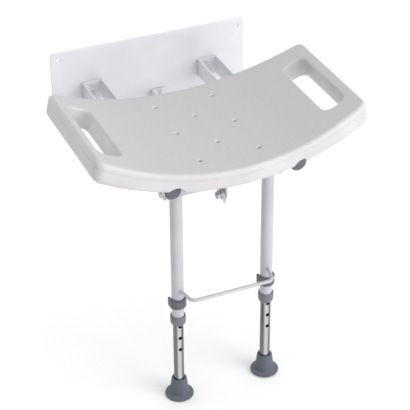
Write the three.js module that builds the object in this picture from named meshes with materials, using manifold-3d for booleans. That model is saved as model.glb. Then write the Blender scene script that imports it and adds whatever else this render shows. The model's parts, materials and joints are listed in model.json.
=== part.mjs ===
// Wall-mounted fold-up shower seat with drop-down, height-adjustable legs.
// Millimetres. X runs to the right, Y runs back towards the wall (the wall is Y = 0), Z is up.
// Heights are measured from the floor, and the last group lowers everything so that the
// origin is the centre of the wall plate's back face.
import * as THREE from 'three';
import { mergeVertices } from 'three/addons/utils/BufferGeometryUtils.js';
import { LoftGeometry } from 'three/addons/geometries/LoftGeometry.js';
import Module from 'manifold-3d';

const wasm = await Module();
wasm.setup();

// ---- driving dimensions ----

// Clearances
const restGap = 0.3;             // between pieces that are clamped, welded or rest together
const boltGap = 0.3;             // radial, around every bolt and screw
const slideGap = 0.275;          // radial, between each leg tube and its collar
const telescopeGap = 0.375;      // radial, between the two tubes of a leg
const pivotGap = 0.8;            // beside a piece that turns on a pivot

// Wall plate
const plateInset = 50;           // how far each end stops short of the seat's
const plateHeight = 150;
const plateThickness = 3;
const plateRise = 85;            // top edge above the hinge
const plateBevel = 0.8;
const plateCornerRadius = 7;
const wallHoleRadius = 3.2;
const wallHoleInset = 15;

// Hinge between seat and wall
const hingeOffset = 100;         // pivot axis in front of the wall
const hingeHeight = 478;
const bracketHeight = 34;
const bracketMetal = 2.5;
const bracketScrewSpacing = 18;
const hingeTail = 39;            // from the hinge to the seat's back corners

// Seat shell
const seatWidth = 480;
const seatSideDepth = 251;       // front to back along the straight ends
const frontBow = 22;             // how far the middle of the front edge stands forward
const backBow = 22;
const seatRise = 28;             // lowest point of the hollow above the hinge
const seatSag = 60;              // how far the ends rise above the middle
const seatThickness = 33;
const seatFlare = 9;             // how far the lower edge of each end stands out
const seatEdgeRadius = 7;
const seatCornerRadius = 14;
const edgeCrowd = 0.9;           // share of the edge radius that the corners' ends lose in depth
const edgeTighten = 0.5;         // and in radius
const shellWall = 3;
const seamDepth = 11;            // parting line below the top
const seamGap = 0.5;

// Handle openings and drain holes
const handleInset = 18;          // from the end of the seat to the opening
const handleWidth = 40;
const handleLength = 168;
const handleSlope = 1;           // how far the inner wall leans in
const handleCornerRadius = 14;
const drainRadius = 2.8;
const drainColumn = 53.5;
const drainPitch = 98;

// Side tubes under the seat
const sideTubeRadius = 15.9;
const sideTubeWall = 1.6;
const sideTubeInset = 126;       // from the end of the seat to the tube's axis
const plugRecess = 17;           // how far the tube stops behind the seat's front edge
const sideTubeTail = 14;         // behind the pivot
const plugDome = 3.5;
const plugDepth = 12;
const plugTaper = 1;
const seatScrewFirst = 42;       // behind the leg pivot
const seatScrewLast = 60;        // in front of the hinge
const seatScrewsPerSide = 3;

// Leg pivot
const legSetback = 58;           // leg plane behind the seat's front corners
const crossbarDrop = 38;         // leg pivot below the hinge
const lugInset = 6.5;            // from the side tube's axis to the lug
const lugThickness = 3;
const lugRadius = 12;
const lugTopWidth = 40;
const crossbarGap = 1;           // between the crossbar's end and the lug

// Leg frame
const legInset = 28;             // from the side tube's axis to the leg's
const legTubeRadius = 11.1;
const legTubeWall = 1.2;
const crossbarWall = 1.5;
const legTubeBottom = 167.6;
const insertLength = 20;
const braceRise = 70.4;          // above the foot of the upper tube
const braceRadius = 3.3;
const braceReach = 46;           // in front of the leg axes
const braceBend = 12;
const braceSplay = 5;            // how far each arm leans in
const braceInset = 1.5;          // from the leg's axis to the rod's end

// Height adjustment
const holePitch = 25.4;
const holeRadius = 3.4;
const holesBelow = 4;
const holesAbove = 1;
const lockRise = 42.4;           // lock pin above the foot of the upper tube
const lockPinRadius = 2.8;
const clipHeight = 17.5;
const clipWall = 3.4;
const clipArm = 7;
const clipTab = 4;
const clipRibs = 7;
const clipRibDepth = 0.7;
const clipTabSlant = 1.5;
const collarHeight = 19;
const collarWall = 2.6;
const collarShelf = 5.3;
const collarChamfer = 2.2;
const collarLip = 0.8;

// Lower legs and feet
const innerTubeWall = 1.5;
const innerTubeOverlap = 60;     // above the lock pin
const footRadius = 26;
const footHeight = 39;
const footRim = 5;
const footShoulder = 17;         // radius where the cone meets the flat rim
const footFillet = 2.5;          // between the cone and the rim
const footSole = 7.7;
const footNeck = 4;              // rubber around the tube at the top
const footEdge = 1;              // bevel of its edges
const footSoleBevel = 2;         // and of the edge it stands on

// Parallel strut
const strutDrop = 25;            // strut pivots below the main pivots
const strutLead = 5;             // and in front of them
const strutX = -2.5;
const strutRadius = 5;
const strutEyeRadius = 9;
const strutEyeThickness = 5;
const strutFlat = 27;             // flattened length from each pivot
const strutPlate = 3;
const strutGap = 0.5;            // between the strut's eyes and the plates they turn against
const strutPlateHalf = 17;       // half the width of the front plate
const strutPlateWaist = 13;      // and behind the legs, where it narrows
const strutPlateTip = 11;        // its point below the eye's reach
const strutPlateWrap = 4;        // its top edge below the crossbar's axis
const strutFlangeReach = 18;     // from the wall bracket's web to its screws
const strutFlangeDrop = 11;      // the flange's middle below the pivot
const strutFlangeSpacing = 9.9;  // between those screws
const strutFlangeEdge = 9;       // from the screws to the flange's edge

// Fasteners
const boltRadius = 4;
const hexHeadRadius = 7.5;
const hexHeadHeight = 5.3;
const lowHeadHeight = 2;         // round heads of the strut's bolts
const nutHeight = 6.5;
const washerRadius = 8;
const washerThickness = 1.5;
const screwRadius = 2.4;
const screwHeadRadius = 4.6;
const screwHeadHeight = 2.6;
const screwRecess = 0.5;         // how far a wall screw's tip stops short of the plate's back face
const boltTail = 2;              // thread that shows past a nut

// ---- derived places ----

const hingeY = -hingeOffset;
const plateWidth = seatWidth - 2 * plateInset;
const plateTop = hingeHeight + plateRise;
const seatTopHeight = hingeHeight + seatRise;
const crossbarHeight = hingeHeight - crossbarDrop;
const seatHalf = seatWidth / 2;
const seatEndsBackY = hingeY - hingeTail;
const seatEndsFrontY = seatEndsBackY - seatSideDepth;
const legY = seatEndsFrontY + legSetback;
const sideTubeX = seatHalf - sideTubeInset;
const lugX = sideTubeX - lugInset;
const legX = sideTubeX - legInset;
const lockHeight = legTubeBottom + lockRise;
const braceHeight = legTubeBottom + braceRise;
const innerTubeRadius = legTubeRadius - legTubeWall - telescopeGap;
const innerTubeTop = lockHeight + innerTubeOverlap;
const seatMiddleY = (seatEndsFrontY - frontBow + seatEndsBackY + backBow) / 2;
const seatArcRadius = (seatHalf ** 2 + seatSag ** 2) / (2 * seatSag);
const cheekX = sideTubeRadius + pivotGap;
const bracketHalf = cheekX + bracketMetal;
const crossbarHalf = lugX - lugThickness / 2 - crossbarGap;
const strutWallY = hingeY - strutLead;
const strutWallZ = hingeHeight - strutDrop;
const strutLegY = legY - strutLead;
const strutLegZ = crossbarHeight - strutDrop;
const strutPlateX = strutX + strutEyeThickness / 2 + strutGap;
const sides = [['left', -1], ['right', 1]];

// Room that a cutting tool takes past the face it cuts, and a length that passes right through
const past = 10;
const through = 3 * hingeHeight;

// ---- materials ----

const paint = () => new THREE.MeshStandardMaterial({ color: 0xdfdfe2, roughness: 0.45, metalness: 0 });
const moulding = () => new THREE.MeshStandardMaterial({ color: 0xcbc9ca, roughness: 0.6, metalness: 0 });
const darkPlastic = () => new THREE.MeshStandardMaterial({ color: 0x6d6c71, roughness: 0.55, metalness: 0 });
const greyPlastic = () => new THREE.MeshStandardMaterial({ color: 0x88878f, roughness: 0.55, metalness: 0 });
const rubber = () => new THREE.MeshStandardMaterial({ color: 0x686e7a, roughness: 0.8, metalness: 0 });
const aluminium = () => new THREE.MeshStandardMaterial({ color: 0xa9a9ab, roughness: 0.35, metalness: 1 });
const steel = () => new THREE.MeshStandardMaterial({ color: 0xb4b4b6, roughness: 0.3, metalness: 1 });

// ---- solids ----

// A closed geometry as a solid that can be cut and joined.
function solid(geometry) {
  const bare = geometry.index ? geometry.toNonIndexed() : geometry.clone();
  bare.deleteAttribute('normal');
  bare.deleteAttribute('uv');
  const merged = mergeVertices(bare, 1e-4);
  const vertProperties = new Float32Array(merged.attributes.position.array);
  const triVerts = new Uint32Array(merged.index.array);
  return new wasm.Manifold(new wasm.Mesh({ numProp: 3, vertProperties, triVerts }));
}

// A solid as a geometry again.
function geometryOf(body) {
  const mesh = body.getMesh();
  const geometry = new THREE.BufferGeometry();
  const places = new Float32Array(mesh.vertProperties);
  geometry.setAttribute('position', new THREE.BufferAttribute(places, 3));
  geometry.setIndex(new THREE.BufferAttribute(new Uint32Array(mesh.triVerts), 1));
  return geometry;
}

const cutAll = (body, cutters) => cutters.reduce((rest, cutter) => rest.subtract(cutter), body);

// Turns a geometry made along Y so that it lies along another axis.
function alongAxis(geometry, axis) {
  if (axis === 'x') geometry.rotateZ(-Math.PI / 2);
  if (axis === 'z') geometry.rotateX(Math.PI / 2);
  return geometry;
}

// A round bar between two places on one axis.
function bar(axis, radius, from, to, centre, segments = 24) {
  const geometry = new THREE.CylinderGeometry(radius, radius, Math.abs(to - from), segments);
  alongAxis(geometry, axis);
  const middle = new THREE.Vector3(...centre);
  middle[axis] = (from + to) / 2;
  geometry.translate(middle.x, middle.y, middle.z);
  return solid(geometry);
}

// A round tube between two places on one axis.
function pipe(axis, radius, wall, from, to, centre, segments = 24) {
  const half = Math.abs(to - from) / 2;
  const profile = [[radius - wall, -half], [radius, -half], [radius, half], [radius - wall, half]];
  const geometry = alongAxis(ring(profile, segments), axis);
  const middle = new THREE.Vector3(...centre);
  middle[axis] = (from + to) / 2;
  geometry.translate(middle.x, middle.y, middle.z);
  return solid(geometry);
}

// A turned ring from an outline that closes on itself.
function ring(outline, segments = 24) {
  const points = outline.map(([radius, along]) => new THREE.Vector2(radius, along));
  points.push(points[0].clone());
  return new THREE.LatheGeometry(points, segments);
}

// A turned piece from an outline that starts and ends on the axis.
function turned(outline, segments = 24) {
  const points = outline.map(([radius, along]) => new THREE.Vector2(radius, along));
  return new THREE.LatheGeometry(points, segments);
}

function box(x0, x1, y0, y1, z0, z1) {
  const geometry = new THREE.BoxGeometry(x1 - x0, y1 - y0, z1 - z0);
  geometry.translate((x0 + x1) / 2, (y0 + y1) / 2, (z0 + z1) / 2);
  return solid(geometry);
}

// A flat plate whose outline lies in the YZ plane, from x = from to x = to.
function plateAcrossX(shape, from, to) {
  const settings = { depth: to - from, bevelEnabled: false, curveSegments: 10 };
  const geometry = new THREE.ExtrudeGeometry(shape, settings);
  geometry.applyMatrix4(new THREE.Matrix4().makeBasis(
    new THREE.Vector3(0, 1, 0),
    new THREE.Vector3(0, 0, 1),
    new THREE.Vector3(1, 0, 0),
  ));
  geometry.translate(from, 0, 0);
  return solid(geometry);
}

function roundedRectangle(width, height, radius) {
  const w = width / 2;
  const h = height / 2;
  const shape = new THREE.Shape();
  shape.absarc(w - radius, -h + radius, radius, -Math.PI / 2, 0);
  shape.absarc(w - radius, h - radius, radius, 0, Math.PI / 2);
  shape.absarc(-w + radius, h - radius, radius, Math.PI / 2, Math.PI);
  shape.absarc(-w + radius, -h + radius, radius, Math.PI, Math.PI * 1.5);
  shape.closePath();
  return shape;
}

// Outline of a strip with a round end: straight from y = tail to the round end centred on (y, z).
// The tail can stand higher or lower than the round end.
function roundEndedStrip(y, z, radius, tail, tailRise = 0) {
  const shape = new THREE.Shape();
  shape.moveTo(tail, z + tailRise - radius);
  shape.lineTo(tail, z + tailRise + radius);
  shape.lineTo(y, z + radius);
  shape.absarc(y, z, radius, Math.PI / 2, Math.PI * 1.5);
  shape.closePath();
  return shape;
}

// ---- the model ----

const model = new THREE.Group();

function addPart(name, geometry, material, parent = model) {
  const mesh = new THREE.Mesh(geometry, material);
  mesh.name = name;
  parent.add(mesh);
  return mesh;
}

// ---- wall plate and brackets ----

const bracketScrewHeights = [-1, 1].map((s) => hingeHeight + s * bracketScrewSpacing / 2);
const strutFlangeX = strutPlateX + strutFlangeReach;
const strutFlangeZ = strutWallZ - strutFlangeDrop;
const strutFlangeHeights = [-1, 1].map((s) => strutFlangeZ + s * strutFlangeSpacing / 2);
const plateFront = -plateThickness;
const webFront = plateFront - restGap - bracketMetal;
const wallScrewLength = -webFront + restGap - screwRecess;

function wallPlate() {
  const shape = roundedRectangle(plateWidth, plateHeight, plateCornerRadius);
  const geometry = new THREE.ExtrudeGeometry(shape, {
    depth: plateThickness - plateBevel,
    bevelEnabled: true,
    bevelThickness: plateBevel / 2,
    bevelSize: plateBevel,
    bevelOffset: -plateBevel,
    bevelSegments: 1,
    curveSegments: 4,
  });
  geometry.rotateX(Math.PI / 2);
  geometry.translate(0, -plateBevel / 2, plateTop - plateHeight / 2);
  const holes = [];
  for (const sx of [-1, 1]) {
    for (const z of [plateTop - wallHoleInset, plateTop - plateHeight + wallHoleInset]) {
      holes.push(bar('y', wallHoleRadius, -past, past, [sx * (plateWidth / 2 - wallHoleInset), 0, z], 12));
    }
    for (const z of bracketScrewHeights) {
      holes.push(bar('y', screwRadius + boltGap, -past, past, [sx * sideTubeX, 0, z], 10));
    }
  }
  for (const z of strutFlangeHeights) {
    holes.push(bar('y', screwRadius + boltGap, -past, past, [strutFlangeX, 0, z], 12));
  }
  return cutAll(solid(geometry), holes);
}
addPart('wall_plate', geometryOf(wallPlate()), paint());

// A pan-head screw along +Y, with the underside of its head at y = 0.
function panScrew(length) {
  return turned([
    [0, -screwHeadHeight],
    [screwHeadRadius * 0.6, -screwHeadHeight],
    [screwHeadRadius, -screwHeadHeight * 0.4],
    [screwHeadRadius, 0],
    [screwRadius, 0],
    [screwRadius, length],
    [0, length],
  ], 12);
}

function hingeBracket(sign) {
  const x = sign * sideTubeX;
  const strip = roundEndedStrip(hingeY, hingeHeight, bracketHeight / 2, webFront + bracketMetal / 2);
  const web = box(
    x - bracketHalf, x + bracketHalf,
    webFront, webFront + bracketMetal,
    hingeHeight - bracketHeight / 2, hingeHeight + bracketHeight / 2,
  );
  const cheekPlaces = [x - bracketHalf, x + cheekX];
  const cheeks = cheekPlaces.map((from) => plateAcrossX(strip, from, from + bracketMetal));
  const channel = web.add(cheeks[0]).add(cheeks[1]);
  const holes = bracketScrewHeights.map((z) => {
    return bar('y', screwRadius + boltGap, webFront - past, 0, [x, 0, z], 12);
  });
  holes.push(bar('x', boltRadius + boltGap, -through, through, [0, hingeY, hingeHeight], 16));
  return cutAll(channel, holes);
}

for (const [side, sign] of sides) {
  addPart(`hinge_bracket_${side}`, geometryOf(hingeBracket(sign)), paint());
  bracketScrewHeights.forEach((z, i) => {
    const screw = addPart(`bracket_screw_${side}_${i + 1}`, panScrew(wallScrewLength), paint());
    screw.position.set(sign * sideTubeX, webFront - restGap, z);
  });
}

function strutBracketWall() {
  const tail = webFront + bracketMetal / 2;
  const strip = roundEndedStrip(strutWallY, strutWallZ, strutEyeRadius, tail, -strutFlangeDrop);
  const web = plateAcrossX(strip, strutPlateX, strutPlateX + strutPlate);
  const flange = box(
    strutPlateX, strutFlangeX + strutFlangeEdge,
    webFront, webFront + bracketMetal,
    strutFlangeZ - strutEyeRadius, strutFlangeZ + strutEyeRadius,
  );
  const holes = strutFlangeHeights.map((z) => {
    return bar('y', screwRadius + boltGap, webFront - past, 0, [strutFlangeX, 0, z], 12);
  });
  holes.push(bar('x', boltRadius + boltGap, -through, through, [0, strutWallY, strutWallZ], 16));
  return cutAll(web.add(flange), holes);
}
addPart('strut_bracket_wall', geometryOf(strutBracketWall()), paint());
strutFlangeHeights.forEach((z, i) => {
  const screw = addPart(`strut_bracket_screw_${i + 1}`, panScrew(wallScrewLength), paint());
  screw.position.set(strutFlangeX, webFront - restGap, z);
});

// A hexagon-head bolt along +X, with the underside of its head at x = 0.
function hexBolt(length) {
  const head = bar('x', hexHeadRadius, -hexHeadHeight, 0, [0, 0, 0], 6);
  const shank = bar('x', boltRadius, -1, length, [0, 0, 0], 16);
  return geometryOf(head.add(shank));
}

// A bolt with a low round head, placed the same way.
function lowHeadBolt(length) {
  const head = bar('x', hexHeadRadius, -lowHeadHeight, 0, [0, 0, 0], 20);
  const shank = bar('x', boltRadius, -lowHeadHeight / 2, length, [0, 0, 0], 16);
  return geometryOf(head.add(shank));
}

// A hexagon nut along +X from x = 0.
function hexNut() {
  const body = bar('x', hexHeadRadius, 0, nutHeight, [0, 0, 0], 6);
  return geometryOf(body.subtract(bar('x', boltRadius + restGap, -5, nutHeight + 5, [0, 0, 0], 16)));
}

// Bolts through the hinge brackets, heads on the outside.
const hingeBoltLength = 2 * bracketHalf + restGap * 2 + nutHeight + boltTail;
for (const [side, sign] of sides) {
  const hinge = new THREE.Group();
  hinge.position.set(sign * sideTubeX, hingeY, hingeHeight);
  hinge.rotation.z = sign > 0 ? Math.PI : 0;
  addPart(`hinge_bolt_${side}`, hexBolt(hingeBoltLength), steel(), hinge).position.x = -bracketHalf - restGap;
  addPart(`hinge_nut_${side}`, hexNut(), steel(), hinge).position.x = bracketHalf + restGap;
  model.add(hinge);
}

// Bolts at the two ends of the strut, with the nut on the strut's side.
const strutNutX = strutX - strutEyeThickness / 2 - washerThickness - restGap * 2;
for (const [end, y, z] of [['wall', strutWallY, strutWallZ], ['leg', strutLegY, strutLegZ]]) {
  const pivot = new THREE.Group();
  pivot.position.set(0, y, z);
  pivot.rotation.z = Math.PI;
  const headX = strutPlateX + strutPlate + restGap;
  const length = headX - strutNutX + nutHeight + boltTail;
  addPart(`strut_bolt_${end}`, lowHeadBolt(length), steel(), pivot).position.x = -headX;
  addPart(`strut_nut_${end}`, hexNut(), steel(), pivot).position.x = -strutNutX;
  const hole = boltRadius + boltGap;
  const washer = pipe('x', washerRadius, washerRadius - hole, 0, washerThickness, [0, 0, 0], 20);
  addPart(`strut_washer_${end}`, geometryOf(washer), steel(), pivot).position.x =
    -strutX + strutEyeThickness / 2 + restGap;
  model.add(pivot);
}

// ---- seat shell ----

const bowAt = (x) => Math.max(0, 1 - (x / seatHalf) ** 2);
const frontAt = (x) => seatEndsFrontY - frontBow * bowAt(x);
const backAt = (x) => seatEndsBackY + backBow * bowAt(x);

// A point x across and y along the seat, at a depth square to its top surface.
function seatPoint(x, y, depth) {
  const rise = Math.sqrt(seatArcRadius ** 2 - x ** 2);
  const z = seatTopHeight + seatArcRadius - rise - depth * seatArcRadius / rise;
  return new THREE.Vector3(x * (1 + seatFlare * depth / (seatThickness * seatHalf)), y, z);
}

// One cross-section of a body that follows the seat: a rectangle with round corners.
function seatSection(x, front, back, top, bottom, radius) {
  const corners = [
    [front + radius, top + radius, Math.PI],
    [front + radius, bottom - radius, Math.PI / 2],
    [back - radius, bottom - radius, 0],
    [back - radius, top + radius, -Math.PI / 2],
  ];
  const points = [];
  const steps = 2;
  for (const [y, depth, start] of corners) {
    for (let i = 0; i <= steps; i++) {
      const angle = start + (Math.PI / 2) * (1 - i / steps);
      points.push(seatPoint(x, y + radius * Math.cos(angle), depth + radius * Math.sin(angle)));
    }
  }
  return points;
}

// A body that follows the seat's curve, drawn in by inset at its edges, between two depths.
function seatBody(inset, top, bottom, edgeRadius, cornerRadius) {
  const half = seatHalf - inset;
  const sections = [];
  const roundSteps = 3;
  const spanSteps = 20;
  const add = (x, round) => {
    const corner = cornerRadius * round;
    const edge = edgeRadius * round * edgeCrowd;
    const front = frontAt(x) + inset + corner;
    const back = backAt(x) - inset - corner;
    const rounding = edgeRadius * (1 - round * edgeTighten);
    sections.push(seatSection(x, front, back, top + edge, bottom - edge, rounding));
  };
  for (let i = 0; i < roundSteps; i++) {
    const angle = (Math.PI / 2) * (1 - i / roundSteps);
    add(-half + cornerRadius * (1 - Math.sin(angle)), 1 - Math.cos(angle));
  }
  for (let i = 0; i <= spanSteps; i++) {
    add((half - cornerRadius) * (2 * i / spanSteps - 1), 0);
  }
  for (let i = roundSteps - 1; i >= 0; i--) {
    const angle = (Math.PI / 2) * (1 - i / roundSteps);
    add(half - cornerRadius * (1 - Math.sin(angle)), 1 - Math.cos(angle));
  }
  return solid(new LoftGeometry(sections, { capStart: true, capEnd: true }));
}

// A slab that follows the seat's curve and is wider than it, between two depths.
function seatSlab(top, bottom) {
  const sections = [];
  const margin = seatFlare + restGap;
  const steps = 22;
  for (let i = 0; i <= steps; i++) {
    const x = (seatHalf + margin) * (2 * i / steps - 1);
    const front = seatEndsFrontY - frontBow - margin;
    const back = seatEndsBackY + backBow + margin;
    const corners = [[front, top], [front, bottom], [back, bottom], [back, top]];
    sections.push(corners.map(([y, depth]) => seatPoint(x, y, depth)));
  }
  return solid(new LoftGeometry(sections, { capStart: true, capEnd: true }));
}

// The space of one handle opening, or that space with its walls when grown.
function handleSpace(sign, grown) {
  const overrun = 6;
  const sections = [-overrun, seatThickness + overrun].map((depth) => {
    const lean = handleSlope * depth / seatThickness;
    const outer = seatHalf - handleInset + grown;
    const inner = seatHalf - handleInset - handleWidth + lean - grown;
    const shape = roundedRectangle(outer - inner, handleLength + 2 * grown, handleCornerRadius + grown);
    const middle = (outer + inner) / 2;
    const outline = shape.getPoints(4).slice(0, -1);
    return outline.map((p) => seatPoint(sign * (middle + p.x), seatMiddleY + p.y, depth));
  });
  if (sign > 0) sections.reverse();
  return solid(new LoftGeometry(sections, { capStart: true, capEnd: true }));
}

const drainPlaces = [];
for (const column of [-1, 1]) {
  for (const row of [-1, 0, 1]) {
    drainPlaces.push([column * drainColumn, seatMiddleY + row * drainPitch]);
  }
}
for (const row of [-0.5, 0.5]) {
  drainPlaces.push([0, seatMiddleY + row * drainPitch]);
}

const seatScrewPlaces = [];
for (let i = 0; i < seatScrewsPerSide; i++) {
  const share = i / (seatScrewsPerSide - 1);
  seatScrewPlaces.push(THREE.MathUtils.lerp(legY + seatScrewFirst, hingeY - seatScrewLast, share));
}

const upright = (radius, x, y, from, to, segments = 10) => bar('z', radius, from, to, [x, y, 0], segments);
const grooveRadius = sideTubeRadius + 2 * restGap;
const seatBossTop = seatPoint(sideTubeX, 0, seamDepth + seamGap + shellWall).z;
const aboveSeat = seatTopHeight + seatSag + past;
const belowSeat = seatTopHeight - seatThickness - past;

function hollowSeat() {
  const spaces = [];
  const solids = [];
  for (const [, sign] of sides) {
    spaces.push(handleSpace(sign, 0));
    solids.push(handleSpace(sign, shellWall));
    const groove = [sign * sideTubeX, 0, hingeHeight];
    spaces.push(bar('y', grooveRadius, -through, 0, groove, 24));
    solids.push(bar('y', grooveRadius + shellWall, -through, 0, groove, 20));
    for (const y of seatScrewPlaces) {
      spaces.push(upright(screwRadius + boltGap, sign * sideTubeX, y, belowSeat, seatBossTop + 1));
      solids.push(upright(screwRadius + boltGap + shellWall, sign * sideTubeX, y, belowSeat, seatBossTop));
    }
  }
  for (const [x, y] of drainPlaces) {
    spaces.push(upright(drainRadius, x, y, belowSeat, aboveSeat));
    solids.push(upright(drainRadius + shellWall, x, y, belowSeat, aboveSeat));
  }
  const outside = seatBody(0, 0, seatThickness, seatEdgeRadius, seatCornerRadius);
  const cavity = seatBody(shellWall, shellWall, seatThickness - shellWall, seatEdgeRadius - shellWall,
    seatCornerRadius - shellWall);
  return cutAll(outside.subtract(cutAll(cavity, solids)), spaces);
}

const seat = hollowSeat();
const upperShell = seat.subtract(seatSlab(seamDepth - seamGap / 2, 2 * seatThickness));
const lowerShell = seat.subtract(seatSlab(-seatThickness, seamDepth + seamGap / 2));
addPart('seat_shell_upper', geometryOf(upperShell), moulding());
addPart('seat_shell_lower', geometryOf(lowerShell), moulding());

// ---- side tubes, plugs, lugs and seat screws ----

const sideTubeFrontY = frontAt(sideTubeX) + plugRecess;

function sideTube(sign) {
  const x = sign * sideTubeX;
  const axis = [x, 0, hingeHeight];
  const tube = pipe('y', sideTubeRadius, sideTubeWall, sideTubeFrontY, hingeY + sideTubeTail, axis);
  const holes = [bar('x', boltRadius + boltGap, -through, through, [0, hingeY, hingeHeight], 16)];
  for (const y of seatScrewPlaces) {
    holes.push(upright(screwRadius + boltGap, x, y, 0, through));
  }
  return cutAll(tube, holes);
}

// A domed end plug along +Y, with its shoulder at y = 0.
function endPlug() {
  const inside = sideTubeRadius - sideTubeWall - restGap;
  const outline = [];
  const steps = 4;
  for (let i = 0; i <= steps; i++) {
    const angle = (Math.PI / 2) * i / steps;
    outline.push([inside * Math.sin(angle), -plugDome * Math.cos(angle)]);
  }
  outline.push([inside - plugTaper, plugDepth]);
  outline.push([0, plugDepth]);
  return turned(outline, 24);
}

function legLug(sign) {
  const shape = new THREE.Shape();
  const top = hingeHeight - sideTubeRadius / 2;
  shape.moveTo(legY - lugRadius, crossbarHeight);
  shape.absarc(legY, crossbarHeight, lugRadius, Math.PI, 2 * Math.PI);
  shape.lineTo(legY + lugTopWidth / 2, top);
  shape.lineTo(legY - lugTopWidth / 2, top);
  shape.closePath();
  const from = sign * lugX - lugThickness / 2;
  const plate = plateAcrossX(shape, from, from + lugThickness);
  const tube = bar('y', sideTubeRadius + restGap, -through, 0, [sign * sideTubeX, 0, hingeHeight]);
  const pivot = bar('x', boltRadius + boltGap, -through, through, [0, legY, crossbarHeight], 16);
  return cutAll(plate, [tube, pivot]);
}

const seatScrewHead = hingeHeight - sideTubeRadius - restGap;
const seatScrewLength = seatBossTop - seatScrewHead - restGap;
for (const [side, sign] of sides) {
  addPart(`side_tube_${side}`, geometryOf(sideTube(sign)), paint());
  const plug = addPart(`tube_plug_${side}`, endPlug(), darkPlastic());
  plug.position.set(sign * sideTubeX, sideTubeFrontY, hingeHeight);
  addPart(`leg_lug_${side}`, geometryOf(legLug(sign)), paint());
  seatScrewPlaces.forEach((y, i) => {
    const screw = addPart(`seat_screw_${side}_${i + 1}`, panScrew(seatScrewLength), steel());
    screw.position.set(sign * sideTubeX, y, seatScrewHead);
    screw.rotation.x = Math.PI / 2;
  });
}

// ---- leg frame ----

const crossbarAxis = [0, legY, crossbarHeight];
const crossbar = pipe('x', legTubeRadius, crossbarWall, -crossbarHalf, crossbarHalf, crossbarAxis);
addPart('crossbar', geometryOf(crossbar), paint());

for (const [side, sign] of sides) {
  const end = new THREE.Group();
  end.position.set(sign * (lugX + lugThickness / 2 + pivotGap), legY, crossbarHeight);
  end.rotation.z = sign > 0 ? Math.PI : 0;
  const lugToBar = lugThickness + pivotGap + crossbarGap;
  addPart(`leg_bolt_${side}`, hexBolt(lugToBar + insertLength), steel(), end);
  const insertRadius = legTubeRadius - crossbarWall - restGap;
  const insert = pipe('x', insertRadius, insertRadius - boltRadius - restGap, 0, insertLength, [0, 0, 0], 24);
  addPart(`crossbar_insert_${side}`, geometryOf(insert), steel(), end).position.x = lugToBar;
  model.add(end);
}

// The space of the crossbar and the gap round it, which pieces welded to it are cut to.
const crossbarSpace = () => bar('x', legTubeRadius + restGap, -through, through, crossbarAxis);

function upperLeg(sign) {
  const x = sign * legX;
  const tube = pipe('z', legTubeRadius, legTubeWall, legTubeBottom, crossbarHeight, [x, legY, 0]);
  const lockHole = bar('y', lockPinRadius + boltGap, -through, legY, [x, 0, lockHeight], 16);
  return cutAll(tube, [crossbarSpace(), lockHole]);
}

// A collar that closes the gap at the mouth of the upper tube, made along +Y.
function legCollar() {
  const outer = legTubeRadius + slideGap + collarWall;
  const bore = innerTubeRadius + slideGap;
  const socket = legTubeRadius + slideGap;
  return ring([
    [bore, 0],
    [outer - collarChamfer, 0],
    [outer - collarLip / 2, 1.5 * collarChamfer],
    [outer, collarHeight / 2],
    [outer, collarHeight - collarLip],
    [outer - collarLip, collarHeight],
    [socket, collarHeight],
    [socket, collarShelf],
    [bore, collarShelf],
  ], 24);
}

// A spring clip that reaches round the front half of the upper tube, with a pin for its hole.
// Its outline lies in the XY plane about the tube's axis, and its arms point back.
function lockClip() {
  const inner = legTubeRadius + restGap;
  const outer = inner + clipWall;
  const shape = new THREE.Shape();
  shape.moveTo(inner, clipArm);
  shape.lineTo(inner, 0);
  const innerSteps = 14;
  for (let i = 1; i <= innerSteps; i++) {
    const angle = -Math.PI * i / innerSteps;
    shape.lineTo(inner * Math.cos(angle), inner * Math.sin(angle));
  }
  shape.lineTo(-inner, clipArm);
  shape.lineTo(-inner - clipTab, clipArm + clipTabSlant);
  shape.lineTo(-outer - clipRibDepth, clipArm - clipTabSlant);
  const outerSteps = 4 * clipRibs;
  for (let i = 0; i <= outerSteps; i++) {
    const angle = -Math.PI + Math.PI * i / outerSteps;
    const wave = clipRibDepth * (1 - Math.cos(2 * Math.PI * clipRibs * i / outerSteps)) / 2;
    shape.lineTo((outer + wave) * Math.cos(angle), (outer + wave) * Math.sin(angle));
  }
  shape.lineTo(outer + clipRibDepth, clipArm - clipTabSlant);
  shape.lineTo(inner + clipTab, clipArm + clipTabSlant);
  shape.closePath();
  const geometry = new THREE.ExtrudeGeometry(shape, { depth: clipHeight, bevelEnabled: false });
  geometry.translate(0, 0, -clipHeight / 2);
  const pin = bar('y', lockPinRadius, -inner - 1, -innerTubeRadius - slideGap, [0, 0, 0], 16);
  return geometryOf(solid(geometry).add(pin));
}

for (const [side, sign] of sides) {
  addPart(`upper_leg_${side}`, geometryOf(upperLeg(sign)), paint());
  const collar = addPart(`leg_collar_${side}`, legCollar(), greyPlastic());
  collar.position.set(sign * legX, legY, legTubeBottom - collarShelf - restGap);
  collar.rotation.x = Math.PI / 2;
  const clip = addPart(`lock_clip_${side}`, lockClip(), darkPlastic());
  clip.position.set(sign * legX, legY, lockHeight);
}

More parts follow.
